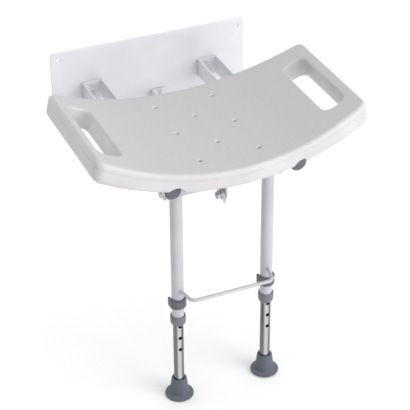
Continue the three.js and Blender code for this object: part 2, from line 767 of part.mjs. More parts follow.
// A rod bent into a flat U in front of the legs.
function braceRod() {
  const endX = legX - braceInset;
  const cornerX = endX - braceSplay;
  const cornerY = legY - braceReach;
  const path = [new THREE.Vector2(-endX, legY - legTubeRadius / 2)];
  const bendSteps = 6;
  for (const sign of [-1, 1]) {
    const start = sign < 0 ? Math.PI : Math.PI * 1.5;
    for (let i = 0; i <= bendSteps; i++) {
      const angle = start + (Math.PI / 2) * i / bendSteps;
      const x = sign * (cornerX - braceBend) + braceBend * Math.cos(angle);
      path.push(new THREE.Vector2(x, cornerY + braceBend + braceBend * Math.sin(angle)));
    }
  }
  path.push(new THREE.Vector2(endX, legY - legTubeRadius / 2));
  const facets = 12;
  const sections = path.map((p, i) => {
    const before = path[Math.max(0, i - 1)];
    const after = path[Math.min(path.length - 1, i + 1)];
    const across = after.clone().sub(before).normalize().rotateAround(new THREE.Vector2(), -Math.PI / 2);
    const points = [];
    for (let k = 0; k < facets; k++) {
      const angle = -2 * Math.PI * k / facets;
      const out = braceRadius * Math.cos(angle);
      const up = braceRadius * Math.sin(angle);
      points.push(new THREE.Vector3(p.x + across.x * out, p.y + across.y * out, braceHeight + up));
    }
    return points;
  });
  const rod = solid(new LoftGeometry(sections, { capStart: true, capEnd: true }));
  return cutAll(rod, [-1, 1].map((s) => bar('z', legTubeRadius + restGap, 0, through, [s * legX, legY, 0])));
}
addPart('brace_rod', geometryOf(braceRod()), paint());

// The plate that carries the front end of the strut, pointed below its bolt.
function strutBracketLeg() {
  const shape = new THREE.Shape();
  const top = crossbarHeight - strutPlateWrap;
  const shoulder = strutLegZ + strutPlate;
  shape.moveTo(legY - strutPlateHalf, top);
  shape.lineTo(legY - strutPlateHalf, shoulder);
  shape.lineTo(strutLegY, strutLegZ - strutEyeRadius - strutPlateTip);
  shape.lineTo(legY + strutPlateWaist, shoulder);
  shape.lineTo(legY + strutPlateHalf, top);
  shape.closePath();
  const plate = plateAcrossX(shape, strutPlateX, strutPlateX + strutPlate);
  const pivot = bar('x', boltRadius + boltGap, -through, through, [0, strutLegY, strutLegZ], 16);
  return cutAll(plate, [crossbarSpace(), pivot]);
}
addPart('strut_bracket_leg', geometryOf(strutBracketLeg()), paint());

// ---- strut ----

// The strut along +Y from its front pivot: a rod with a flat eye at each end.
function strutRod(length) {
  const half = strutEyeThickness / 2;
  const eyes = [0, length].map((y) => bar('x', strutEyeRadius, -half, half, [0, y, 0], 24));
  const flats = [0, length - strutFlat].map((y) => {
    return box(-half, half, y, y + strutFlat, -strutRadius, strutRadius);
  });
  const rod = bar('y', strutRadius, strutFlat - 2, length - strutFlat + 2, [0, 0, 0], 20);
  const whole = rod.add(eyes[0]).add(eyes[1]).add(flats[0]).add(flats[1]);
  return cutAll(whole, [0, length].map((y) => bar('x', boltRadius + boltGap, -past, past, [0, y, 0], 20)));
}
const strutRun = strutWallY - strutLegY;
const strutRise = strutWallZ - strutLegZ;
const strut = addPart('strut', geometryOf(strutRod(Math.hypot(strutRun, strutRise))), paint());
strut.position.set(strutX, strutLegY, strutLegZ);
strut.rotation.x = Math.atan2(strutRise, strutRun);

// ---- lower legs and feet ----

function lowerLeg(sign) {
  const x = sign * legX;
  const tube = pipe('z', innerTubeRadius, innerTubeWall, footSole + restGap, innerTubeTop, [x, legY, 0]);
  const holes = [];
  for (let i = -holesBelow; i <= holesAbove; i++) {
    holes.push(bar('y', holeRadius, -through, legY, [x, 0, lockHeight + i * holePitch], 12));
  }
  return cutAll(tube, holes);
}

// A flared rubber foot along +Y, with its sole at y = 0 and a socket for the tube.
function rubberFoot() {
  const socket = innerTubeRadius + restGap;
  const neck = socket + footNeck;
  return turned([
    [0, 0],
    [footRadius - footSoleBevel, 0],
    [footRadius, footSoleBevel],
    [footRadius, footRim - footEdge],
    [footRadius - footEdge, footRim],
    [footShoulder + footFillet, footRim + footEdge],
    [footShoulder, footRim + footEdge + footFillet],
    [neck, footHeight - 2 * footEdge],
    [neck - footEdge, footHeight],
    [socket, footHeight],
    [socket, footSole],
    [0, footSole],
  ], 28);
}

for (const [side, sign] of sides) {
  addPart(`lower_leg_${side}`, geometryOf(lowerLeg(sign)), aluminium());
  const foot = addPart(`foot_${side}`, rubberFoot(), rubber());
  foot.position.set(sign * legX, legY, 0);
  foot.rotation.x = Math.PI / 2;
}

// ---- the whole, about the centre of the wall plate's back face ----

model.position.z = plateHeight / 2 - plateTop;
const showerSeat = new THREE.Group();
showerSeat.add(model);

export default showerSeat;
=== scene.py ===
import json
from math import atan2, copysign, cos, hypot, pi, radians, sin, sqrt

import bmesh
import bpy
from mathutils import Matrix, Vector


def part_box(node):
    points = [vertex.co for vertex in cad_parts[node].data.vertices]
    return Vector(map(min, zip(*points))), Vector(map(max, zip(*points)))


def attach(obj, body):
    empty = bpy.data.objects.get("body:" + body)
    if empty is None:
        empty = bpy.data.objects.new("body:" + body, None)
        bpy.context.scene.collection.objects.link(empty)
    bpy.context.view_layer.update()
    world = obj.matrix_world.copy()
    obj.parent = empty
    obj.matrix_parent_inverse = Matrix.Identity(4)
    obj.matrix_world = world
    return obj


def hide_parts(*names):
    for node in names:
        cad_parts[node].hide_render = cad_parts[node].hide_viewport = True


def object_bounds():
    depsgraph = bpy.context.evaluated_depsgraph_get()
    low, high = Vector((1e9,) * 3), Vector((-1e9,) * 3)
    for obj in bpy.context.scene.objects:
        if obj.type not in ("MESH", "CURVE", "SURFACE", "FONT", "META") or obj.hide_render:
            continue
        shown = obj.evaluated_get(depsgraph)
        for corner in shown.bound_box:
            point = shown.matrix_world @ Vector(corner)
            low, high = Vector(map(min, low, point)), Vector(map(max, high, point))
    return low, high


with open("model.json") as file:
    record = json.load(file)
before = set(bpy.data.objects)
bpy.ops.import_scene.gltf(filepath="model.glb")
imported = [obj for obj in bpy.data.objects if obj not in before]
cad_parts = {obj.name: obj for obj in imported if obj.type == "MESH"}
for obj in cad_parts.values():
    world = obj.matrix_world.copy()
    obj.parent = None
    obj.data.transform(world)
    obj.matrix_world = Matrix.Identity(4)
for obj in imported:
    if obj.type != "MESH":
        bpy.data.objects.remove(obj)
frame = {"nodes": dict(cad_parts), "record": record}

mm = 0.001
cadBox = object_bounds()
bodyOf = {node: body for body, nodes in frame["record"]["behaviour"]["bodies"].items() for node in nodes}
sides = {"left": -1, "right": 1}
print("frame loaded,", len(frame["nodes"]), "parts")

# ---- camera, floor and light ----

camera = {
    "lens": 130.8,                      # mm, on a 36 mm sensor
    "place": (-0.8741, -2.2929, 1.2868),
    "heading": 23.23,                   # degrees to the right of square to the wall
    "tilt": 32.84,                      # degrees below the horizon
    "roll": -0.4,
}


def addCamera():
    data = bpy.data.cameras.new("viewCamera")
    data.lens = camera["lens"]
    data.sensor_width = 36
    data.clip_end = 50
    data.dof.use_dof = False
    piece = bpy.data.objects.new("viewCamera", data)
    turn = Matrix.Rotation(radians(-camera["heading"]), 4, "Z")
    turn = turn @ Matrix.Rotation(radians(90 - camera["tilt"]), 4, "X")
    turn = turn @ Matrix.Rotation(radians(camera["roll"]), 4, "Z")
    piece.matrix_world = Matrix.Translation(camera["place"]) @ turn
    bpy.context.scene.collection.objects.link(piece)
    bpy.context.scene.camera = piece


addCamera()


def linearColour(hexText):
    channels = [int(hexText[i:i + 2], 16) / 255 for i in (1, 3, 5)]
    linear = [c / 12.92 if c <= 0.04045 else ((c + 0.055) / 1.055) ** 2.4 for c in channels]
    return (*linear, 1)


# One node with its settings, and the outputs that feed its sockets
def addNode(tree, kind, settings=None, links=None):
    node = tree.nodes.new("ShaderNode" + kind)
    for name, value in (settings or {}).items():
        if isinstance(name, int) or name in node.inputs:
            node.inputs[name].default_value = value
        else:
            setattr(node, name, value)
    for socket, source in (links or {}).items():
        tree.links.new(source, node.inputs[socket])
    return node


def perSize(size):
    return 1 / (size * mm)      # noise scale for a feature that many millimetres across


def newFinish(name, settings):
    material = bpy.data.materials.new(name)
    material.use_nodes = True
    tree = material.node_tree
    tree.nodes.clear()
    shader = addNode(tree, "BsdfPrincipled", settings)
    addNode(tree, "OutputMaterial", links={"Surface": shader.outputs[0]})
    place = addNode(tree, "TexCoord")
    return material, tree, shader, place


def speckle(tree, vector, size, detail=2.0, roughness=0.5):
    settings = {"Scale": perSize(size), "Detail": detail, "Roughness": roughness}
    return addNode(tree, "TexNoise", settings, {"Vector": vector}).outputs["Fac"]


def spread(tree, value, low, high, toLow, toHigh):
    settings = {"From Min": low, "From Max": high, "To Min": toLow, "To Max": toHigh}
    return addNode(tree, "MapRange", settings, {"Value": value}).outputs["Result"]


def blendColours(tree, factor, first, second):
    settings = {"data_type": "RGBA"}
    links = {0: factor}
    for socket, colour in ((6, first), (7, second)):
        if isinstance(colour, str):
            settings[socket] = linearColour(colour)
        else:
            links[socket] = colour
    return addNode(tree, "Mix", settings, links).outputs[2]


def raiseGrain(tree, shader, height, distance, strength):
    bump = addNode(tree, "Bump", {"Distance": distance * mm, "Strength": strength}, {"Height": height})
    tree.links.new(bump.outputs[0], shader.inputs["Normal"])


studio = {
    "sky": 1.22,            # brightness straight up
    "wall": 0.90,           # and at eye level
    "keyPower": 52,         # watts
    "keySize": 2.6,
    "keyDistance": 3.2,
    "keyHeading": 36,       # degrees to the right of the front
    "keyHeight": 17,        # degrees above the seat
    "floor": "#F9F9F9",
}

# Brightness of the room round the object, by heading: dark flags stand at the left and far right,
# so that the metal has something to show
roomTones = [(0.0, 1.0), (0.13, 0.95), (0.20, 0.45), (0.26, 0.12), (0.33, 0.14), (0.40, 0.62), (0.47, 0.90),
             (0.54, 1.45), (0.61, 1.45), (0.67, 0.85), (0.72, 0.15), (0.78, 0.20), (0.86, 0.95), (1.0, 1.0)]


def addRoom():
    world = bpy.data.worlds.new("paleRoom")
    bpy.context.scene.world = world
    world.use_nodes = True
    tree = world.node_tree
    tree.nodes.clear()
    place = addNode(tree, "TexCoord")
    axes = addNode(tree, "SeparateXYZ", links={0: place.outputs["Generated"]})
    front = addNode(tree, "Math", {"operation": "MULTIPLY", 1: -1.0}, {0: axes.outputs["Y"]})
    heading = addNode(tree, "Math", {"operation": "ARCTAN2"},
                      {0: axes.outputs["X"], 1: front.outputs[0]})
    share = addNode(tree, "MapRange", {"From Min": -pi, "From Max": pi},
                    {"Value": heading.outputs[0]})
    tones = addNode(tree, "ValToRGB", links={"Fac": share.outputs["Result"]})
    ramp = tones.color_ramp
    while len(ramp.elements) < len(roomTones):
        ramp.elements.new(0.5)
    for element, (at, tone) in zip(ramp.elements, roomTones):
        element.position = at
        element.color = (tone * studio["wall"],) * 3 + (1,)
    high = addNode(tree, "MapRange", {"From Min": 0.25, "From Max": 0.85},
                   {"Value": axes.outputs["Z"]})
    mixed = addNode(tree, "Mix", {"data_type": "RGBA", 7: (studio["sky"],) * 3 + (1,)},
                    {0: high.outputs["Result"], 6: tones.outputs["Color"]})
    light = addNode(tree, "Background", links={"Color": mixed.outputs[2]})
    addNode(tree, "OutputWorld", links={"Surface": light.outputs[0]})


def addKeyLight():
    data = bpy.data.lights.new("keyPanel", "AREA")
    data.shape = "DISK"
    data.size = studio["keySize"]
    data.energy = studio["keyPower"]
    piece = bpy.data.objects.new("keyPanel", data)
    heading = radians(studio["keyHeading"])
    height = radians(studio["keyHeight"])
    level = cos(height)
    toLight = Vector((sin(heading) * level, -cos(heading) * level, sin(height)))
    aim = Vector((0, -0.25, -0.1))
    piece.location = aim + toLight * studio["keyDistance"]
    piece.rotation_euler = toLight.to_track_quat("Z", "Y").to_euler()
    bpy.context.scene.collection.objects.link(piece)


def paintedFloor():
    # Matt white studio floor: no gloss, a trace of cloudiness
    material, tree, shader, place = newFinish("mattWhitePaint", {
        "Roughness": 0.95, "Specular IOR Level": 0.1})
    cloud = addNode(tree, "TexNoise", {"Scale": 3.0}, {"Vector": place.outputs["Object"]})
    tint = blendColours(tree, cloud.outputs["Fac"], "#F6F6F6", studio["floor"])
    tree.links.new(tint, shader.inputs["Base Color"])
    return material


def addFloor():
    made = bmesh.new()
    bmesh.ops.create_grid(made, x_segments=4, y_segments=4, size=6)
    mesh = bpy.data.meshes.new("floor")
    made.to_mesh(mesh)
    made.free()
    piece = bpy.data.objects.new("floor", mesh)
    piece.location.z = cadBox[0].z - 0.0002
    bpy.context.scene.collection.objects.link(piece)
    mesh.materials.append(paintedFloor())


addRoom()
addKeyLight()
addFloor()
bpy.context.scene.view_settings.view_transform = "Standard"
print("camera, room and floor ready")

# ---- finishes ----


def blowMouldedPolyethylene():
    # High-density polyethylene, blown in a sand-blasted mould: waxy white, with a fine pebble grain on
    # the seating face. The grained top is also painted greyer than the smooth rim: painted shade, for the
    # shadows in its grain and the lesser light on it
    material, tree, shader, place = newFinish("blowMouldedPolyethylene", {
        "IOR": 1.54, "Specular IOR Level": 0.42, "Subsurface Weight": 0.0})
    here = place.outputs["Object"]
    facing = addNode(tree, "SeparateXYZ", links={0: place.outputs["Normal"]}).outputs["Z"]
    grainAndShadeMask = spread(tree, facing, 0.80, 0.97, 0.0, 1.0)
    # Real pebbles are 0.8 mm; drawn 2.6 mm so that they show
    pebble = addNode(tree, "TexVoronoi", {"Scale": perSize(2.6), "Randomness": 1.0},
                     {"Vector": here}).outputs["Distance"]
    fine = speckle(tree, here, 1.7, 3.0, 0.7)
    cloud = speckle(tree, here, 55, 2.0)
    smoothTone = blendColours(tree, spread(tree, cloud, 0.35, 0.65, 0, 1), "#C3C0C2", "#CAC7C9")
    # The grained top's grey is painted shade as well as the grain's own speckle
    grainShadeTone = blendColours(tree, spread(tree, fine, 0.30, 0.70, 0, 1), "#B1AFB0", "#C4C2C3")
    clouded = blendColours(tree, spread(tree, cloud, 0.3, 0.7, 0, 0.35), grainShadeTone, "#BAB8B9")
    tree.links.new(blendColours(tree, grainAndShadeMask, smoothTone, clouded), shader.inputs["Base Color"])
    rough = spread(tree, grainAndShadeMask, 0, 1, 0.42, 0.66)
    tree.links.new(rough, shader.inputs["Roughness"])
    height = addNode(tree, "Math", {"operation": "ADD"}, {0: pebble, 1: fine}).outputs[0]
    masked = addNode(tree, "Math", {"operation": "MULTIPLY"}, {0: height, 1: grainAndShadeMask}).outputs[0]
    raiseGrain(tree, shader, masked, 0.16, 0.55)
    return material


def powderCoatedSteel(name, low, high, dust):
    # Mild steel with polyester powder, baked on: glossy, with a faint orange peel that breaks up highlights
    material, tree, shader, place = newFinish(name, {
        "IOR": 1.5, "Coat Weight": 0.25, "Coat Roughness": 0.12})
    here = place.outputs["Object"]
    peel = speckle(tree, here, 2.4, 1.0)
    cloud = speckle(tree, here, 70, 2.0)
    grit = speckle(tree, here, 1.4, 3.0, 0.7)
    tone = blendColours(tree, spread(tree, cloud, 0.35, 0.65, 0, 1), low, high)
    dusted = blendColours(tree, spread(tree, grit, 0.62, 0.78, 0, 0.5), tone, dust)
    tree.links.new(dusted, shader.inputs["Base Color"])
    tree.links.new(spread(tree, cloud, 0.3, 0.7, 0.30, 0.40), shader.inputs["Roughness"])
    raiseGrain(tree, shader, peel, 0.05, 0.5)
    return material


def mouldedPlastic(name, low, high, gloss, mark):
    # Filled ABS or polypropylene from a steel mould: satin, with small flow specks
    material, tree, shader, place = newFinish(name, {"IOR": 1.5, "Specular IOR Level": 0.45})
    here = place.outputs["Object"]
    flow = speckle(tree, here, 3.2, 4.0, 0.7)
    cloud = speckle(tree, here, 14, 2.0)
    tone = blendColours(tree, spread(tree, flow, 0.3, 0.7, 0, 1), low, high)
    scuffed = blendColours(tree, spread(tree, cloud, 0.58, 0.80, 0, 0.5), tone, mark)
    tree.links.new(scuffed, shader.inputs["Base Color"])
    tree.links.new(spread(tree, flow, 0.3, 0.7, gloss - 0.06, gloss + 0.06), shader.inputs["Roughness"])
    raiseGrain(tree, shader, flow, 0.10, 0.5)
    return material


def mouldedRubber():
    # Grey thermoplastic rubber, moulded: matt, with a bloom that greys the flat rim
    material, tree, shader, place = newFinish("mouldedRubber", {
        "IOR": 1.52, "Specular IOR Level": 0.3, "Sheen Weight": 0.12, "Sheen Roughness": 0.5})
    here = place.outputs["Object"]
    skin = speckle(tree, here, 1.9, 4.0, 0.65)
    cloud = speckle(tree, here, 11, 2.0)
    height = addNode(tree, "SeparateXYZ", links={0: place.outputs["Normal"]}).outputs["Z"]
    tone = blendColours(tree, spread(tree, skin, 0.3, 0.7, 0, 1), "#535963", "#5E646F")
    bloom = addNode(tree, "Math", {"operation": "MULTIPLY"},
                    {0: spread(tree, height, 0.5, 0.95, 0, 0.6), 1: spread(tree, cloud, 0.3, 0.7, 0.4, 1)})
    tree.links.new(blendColours(tree, bloom.outputs[0], tone, "#6A6F76"), shader.inputs["Base Color"])
    tree.links.new(spread(tree, skin, 0.3, 0.7, 0.62, 0.78), shader.inputs["Roughness"])
    raiseGrain(tree, shader, skin, 0.08, 0.6)
    return material


# Painted reflection: a dark and a bright streak are painted into the metal's colour across each lower leg
reflectionStreak = {"pitch": 13.23, "phase": 0.77}     # one dull and one bright streak every 13 mm


def anodisedAluminium():
    # Drawn aluminium tube, clear anodised: satin metal with fine draw lines along its length
    material, tree, shader, place = newFinish("anodisedAluminium", {"Metallic": 1.0, "Anisotropic": 0.0})
    here = place.outputs["Object"]
    stretch = addNode(tree, "Mapping", {"Scale": (1, 1, 0.02)}, {"Vector": here}).outputs[0]
    lines = speckle(tree, stretch, 1.1, 3.0, 0.7)
    scuff = speckle(tree, here, 2.2, 5.0, 0.75)
    # Dull and bright streaks along the tube, painted into its colour: painted reflection
    settings = {"Scale": 2 * pi / (20 * reflectionStreak["pitch"] * mm), "Phase Offset": reflectionStreak["phase"],
                "Distortion": 0.5, "Detail": 1.0}
    reflectionBands = addNode(tree, "TexWave", settings, {"Vector": stretch})
    drawn = blendColours(tree, spread(tree, lines, 0.3, 0.7, 0, 1), "#C0C0C2", "#D8D8DA")
    tone = blendColours(tree, spread(tree, reflectionBands.outputs["Fac"], 0.12, 0.75, 0, 1), "#757578", drawn)
    worn = blendColours(tree, spread(tree, scuff, 0.58, 0.72, 0, 0.7), tone, "#97979A")
    tree.links.new(worn, shader.inputs["Base Color"])
    tree.links.new(spread(tree, scuff, 0.3, 0.7, 0.16, 0.26), shader.inputs["Roughness"])
    raiseGrain(tree, shader, lines, 0.03, 0.4)
    return material


def zincPlatedSteel():
    # Cold-headed steel, zinc plated: bluish bright metal with a cloudy, slightly crystalline film
    material, tree, shader, place = newFinish("zincPlatedSteel", {"Metallic": 1.0})
    here = place.outputs["Object"]
    crystal = addNode(tree, "TexVoronoi", {"Scale": perSize(1.3)},
                      {"Vector": here}).outputs["Distance"]
    cloud = speckle(tree, here, 5, 4.0, 0.6)
    tone = blendColours(tree, spread(tree, cloud, 0.3, 0.7, 0, 1), "#A9ABAF", "#C9CBCE")
    tree.links.new(tone, shader.inputs["Base Color"])
    tree.links.new(spread(tree, crystal, 0, 0.6, 0.22, 0.38), shader.inputs["Roughness"])
    raiseGrain(tree, shader, crystal, 0.02, 0.4)
    return material


def shadedBore():
    # Inside of a drawn tube, never polished: dull, and painted near black as shade inside the bore
    material, tree, shader, place = newFinish("shadedBore", {"Metallic": 0.6})
    boreShadeSpeckle = speckle(tree, place.outputs["Object"], 4, 4.0, 0.7)
    tree.links.new(blendColours(tree, boreShadeSpeckle, "#1E1E20", "#38383B"), shader.inputs["Base Color"])
    tree.links.new(spread(tree, boreShadeSpeckle, 0.3, 0.7, 0.6, 0.8), shader.inputs["Roughness"])
    return material


finish = {
    "seat_moulding": blowMouldedPolyethylene(),
    "powder_coat": powderCoatedSteel("whitePowderCoat", "#D1D1D6", "#D8D8DD", "#C5C5CA"),
    "dark_plastic": mouldedPlastic("mouldedAbs", "#515057", "#66656C", 0.46, "#77767E"),
    "grey_plastic": mouldedPlastic("mouldedPolypropylene", "#67666E", "#7A7981", 0.48, "#8A8991"),
    "foot_rubber": mouldedRubber(),
    "anodised_aluminium": anodisedAluminium(),
    "zinc_steel": zincPlatedSteel(),
}
# The tubes take a greyer copy of the white powder coat: painted shade, as they stand less lit under the seat
# than the wall plate and its brackets
shadedTubeCoat = powderCoatedSteel("shadedWhitePowderCoat", "#B2B2B8", "#BABAC0", "#A4A4AA")
boreShade = shadedBore()
print("finishes mixed:", len(finish) + 2)

# ---- mesh tools ----


def newPiece(name, made):
    bmesh.ops.recalc_face_normals(made, faces=made.faces)
    mesh = bpy.data.meshes.new(name)
    made.to_mesh(mesh)
    made.free()
    piece = bpy.data.objects.new(name, mesh)
    bpy.context.scene.collection.objects.link(piece)
    return piece


# Runs the piece's modifiers into its mesh
def settle(piece):
    graph = bpy.context.evaluated_depsgraph_get()
    graph.update()
    mesh = bpy.data.meshes.new_from_object(piece.evaluated_get(graph), preserve_all_data_layers=True,
                                           depsgraph=graph)
    piece.modifiers.clear()
    old = piece.data
    piece.data = mesh
    bpy.data.meshes.remove(old)
    return piece


def cut(piece, *tools, operation="DIFFERENCE"):
    for tool in tools:
        change = piece.modifiers.new("cut", "BOOLEAN")
        change.operation = operation
        change.solver = "EXACT"
        change.object = tool
    settle(piece)
    for tool in tools:
        bpy.data.objects.remove(tool)
    return piece


def soften(piece, width, segments=2, angle=35):
    change = piece.modifiers.new("soften", "BEVEL")
    change.width = width * mm
    change.segments = segments
    change.limit_method = "ANGLE"
    change.angle_limit = radians(angle)
    change.use_clamp_overlap = True
    return settle(piece)


def smooth(piece, angle=35):
    piece.data.shade_smooth()
    piece.data.set_sharp_from_angle(angle=radians(angle))
    return piece


# The piece moves with the body that the node belongs to
def ridesWith(piece, coat, node):
    piece.data.materials.clear()
    piece.data.materials.append(coat)
    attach(piece, bodyOf[node])


# The piece also takes the place of the CAD part it is drawn for
def standsFor(piece, slotName, node, coat=None):
    ridesWith(piece, coat or finish[slotName], node)
    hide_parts(node)


def middleOf(node):
    low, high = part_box(node)
    return (low + high) / 2 / mm


axisTurn = {
    "z": Matrix.Identity(4),
    "x": Matrix.Rotation(radians(90), 4, "Y"),
    "-x": Matrix.Rotation(radians(-90), 4, "Y"),
    "y": Matrix.Rotation(radians(-90), 4, "X"),
    "-y": Matrix.Rotation(radians(90), 4, "X"),
}


def placed(piece, place, axis="z"):
    piece.data.transform(Matrix.Translation(Vector(place) * mm) @ axisTurn[axis])
    return piece


# Faces between rows of corners, each row being a closed loop
def bridge(made, rows):
    for near, far in zip(rows, rows[1:]):
        for k in range(len(near)):
            n = (k + 1) % len(near)
            made.faces.new([near[k], near[n], far[n], far[k]])


# A turned piece from (radius, height) in mm; a ring's outline is closed, and radius or height may be a
# function of the turn
def turned(name, outline, segments=48, ring=False):
    made = bmesh.new()
    rows = []
    for radius, height in outline:
        if not callable(radius) and radius <= 1e-6:
            rows.append([made.verts.new((0, 0, height * mm))])
            continue
        row = []
        for k in range(segments):
            turn = 2 * pi * k / segments
            r = radius(turn) if callable(radius) else radius
            z = height(turn) if callable(height) else height
            row.append(made.verts.new((r * cos(turn) * mm, r * sin(turn) * mm, z * mm)))
        rows.append(row)
    pairs = list(zip(rows, rows[1:])) + ([(rows[-1], rows[0])] if ring else [])
    for lower, upper in pairs:
        for k in range(segments):
            n = (k + 1) % segments
            corners = [lower[k % len(lower)], lower[n % len(lower)],
                       upper[n % len(upper)], upper[k % len(upper)]]
            made.faces.new(list(dict.fromkeys(corners)))
    return newPiece(name, made)


def tubeOf(name, outer, inner, low, high, segments=48, lip=0.3):
    outline = [(inner, low + lip), (inner + lip, low), (outer - lip, low), (outer, low + lip),
               (outer, high - lip), (outer - lip, high), (inner + lip, high), (inner, high - lip)]
    return turned(name, outline, segments, ring=True)


def rodOf(name, radius, low, high, segments=32):
    return turned(name, [(0, low), (radius, low), (radius, high), (0, high)], segments)


# A round tool along the axis, from low to high about the place
def drill(radius, low, high, place, axis="z", segments=32):
    return placed(rodOf("drill", radius, low, high, segments), place, axis)


# A prism from a flat outline in mm; the plane's two axes come first, then the one it is drawn along
def prism(name, outline, low, high, plane="xyz"):
    order = ["xyz".index(letter) for letter in plane]
    made = bmesh.new()
    layers = []
    for along in (low, high):
        row = []
        for u, v in outline:
            place = [0, 0, 0]
            for axis, value in zip(order, (u, v, along)):
                place[axis] = value * mm
            row.append(made.verts.new(place))
        layers.append(row)
    made.faces.new(layers[0])
    made.faces.new(layers[1])
    bridge(made, layers)
    return newPiece(name, made)


def arc(centre, radius, start, end, steps):
    turns = [radians(start + (end - start) * i / steps) for i in range(steps + 1)]
    return [(centre[0] + radius * cos(t), centre[1] + radius * sin(t)) for t in turns]


def roundedOutline(width, height, radius, steps):
    w, h = width / 2 - radius, height / 2 - radius
    outline = []
    for sx, sy, start in ((1, -1, -90), (1, 1, 0), (-1, 1, 90), (-1, -1, 180)):
        outline += arc((sx * w, sy * h), radius, start, start + 90, steps)
    return outline


# A round bead or rod along points in mm, with a radius for each point
def bead(name, points, radii, closed=False, facets=12):
    made = bmesh.new()
    count = len(points)
    rows = []
    normal = None
    for i, point in enumerate(points):
        before = points[(i - 1) % count] if closed or i else points[i]
        after = points[(i + 1) % count] if closed or i < count - 1 else points[i]
        along = (after - before).normalized()
        if normal is None:
            normal = along.orthogonal().normalized()
        normal = (normal - along * normal.dot(along)).normalized()
        across = along.cross(normal)
        row = []
        for k in range(facets):
            turn = 2 * pi * k / facets
            reach = normal * cos(turn) + across * sin(turn)
            row.append(made.verts.new((point + reach * radii[i]) * mm))
        rows.append(row)
    bridge(made, rows)
    if closed:
        # Round a closed path the rows come back turned, which the last row of faces makes up
        first, last = rows[0], rows[-1]
        shift = min(range(facets), key=lambda s: (last[0].co - first[s].co).length)
        for k in range(facets):
            n = (k + 1) % facets
            made.faces.new([last[k], last[n], first[(n + shift) % facets], first[(k + shift) % facets]])
    else:
        made.faces.new(rows[0])
        made.faces.new(rows[-1])
    return newPiece(name, made)


hole = {"screw": 2.7, "pivot": 4.3, "lockPin": 3.1}     # radii of the clearance holes, mm
joinGap = 0.3       # left beside a welded or turned neighbour, mm

# ---- seat shell ----

seat = {
    "width": 480, "ends": (-390, -139),     # front and back of the straight ends, from the wall
    "frontBow": 22, "backBow": 22,
    "top": 18, "sag": 60,                   # middle of the hollow, and how far the ends rise
    "thickness": 33, "flare": 9,
    "edge": 7, "corner": 14,
    "seam": 11, "seamGap": 0.1, "seamLip": 0.35,
    "columns": 72, "rows": 26,
}
handle = {"inset": 18, "width": 40, "length": 168, "slope": 1, "corner": 14, "fillet": 3.5}
drain = {"radius": 2.8, "mouth": 6.0, "column": 53.5, "pitch": 98}
groove = {"x": 114, "z": -10, "radius": 16.5}

seatHalf = seat["width"] / 2
seatArc = (seatHalf ** 2 + seat["sag"] ** 2) / (2 * seat["sag"])
seatMiddle = (seat["ends"][0] - seat["frontBow"] + seat["ends"][1] + seat["backBow"]) / 2


# A point across and along the seat, at a depth square to its top
def seatPoint(x, y, depth):
    rise = sqrt(seatArc ** 2 - x ** 2)
    z = seat["top"] + seatArc - rise - depth * seatArc / rise
    return Vector((x * (1 + seat["flare"] * depth / (seat["thickness"] * seatHalf)), y, z)) * mm


# The outline's columns at an inset: x, front y and back y, from the left end to the right
def seatColumns(inset):
    corner = seat["corner"]
    straight = seatHalf - corner
    steps = 8
    places = []
    for i in range(steps):
        turn = pi / 2 * (1 - i / steps)
        places.append((-straight - (corner - inset) * sin(turn), (corner - inset) * (1 - cos(turn))))
    places += [(straight * (2 * i / seat["columns"] - 1), 0) for i in range(seat["columns"] + 1)]
    places += [(-x, drop) for x, drop in reversed(places[:steps])]
    columns = []
    for x, drop in places:
        bow = max(0, 1 - (x / seatHalf) ** 2)
        front = seat["ends"][0] - seat["frontBow"] * bow + inset + drop
        back = seat["ends"][1] + seat["backBow"] * bow - inset - drop
        columns.append((x, front, back))
    return columns


# One half of the shell between two depths, with its own rounding at each edge
def seatSlab(name, top, bottom, topEdge, bottomEdge):
    made = bmesh.new()
    steps = 7
    turns = [pi / 2 * i / steps for i in range(steps + 1)]
    profile = [(topEdge * (1 - sin(turn)), top + topEdge * (1 - cos(turn))) for turn in turns]
    profile += [(bottomEdge * (1 - cos(turn)), bottom - bottomEdge * (1 - sin(turn))) for turn in turns]

    def loopAt(inset, depth):
        columns = seatColumns(inset)
        loop = [(x, front) for x, front, back in columns]
        x, front, back = columns[-1]
        loop += [(x, front + (back - front) * j / seat["rows"]) for j in range(1, seat["rows"])]
        loop += [(x, back) for x, front, back in reversed(columns)]
        x, front, back = columns[0]
        loop += [(x, back + (front - back) * j / seat["rows"]) for j in range(1, seat["rows"])]
        return [made.verts.new(seatPoint(x, y, depth)) for x, y in loop]

    bridge(made, [loopAt(inset, depth) for inset, depth in profile])
    for inset, depth in (profile[0], profile[-1]):
        grid = [[made.verts.new(seatPoint(x, front + (back - front) * j / seat["rows"], depth))
                 for j in range(seat["rows"] + 1)] for x, front, back in seatColumns(inset)]
        for near, far in zip(grid, grid[1:]):
            for j in range(seat["rows"]):
                made.faces.new([near[j], near[j + 1], far[j + 1], far[j]])
    bmesh.ops.remove_doubles(made, verts=made.verts, dist=0.00001)
    return newPiece(name, made)


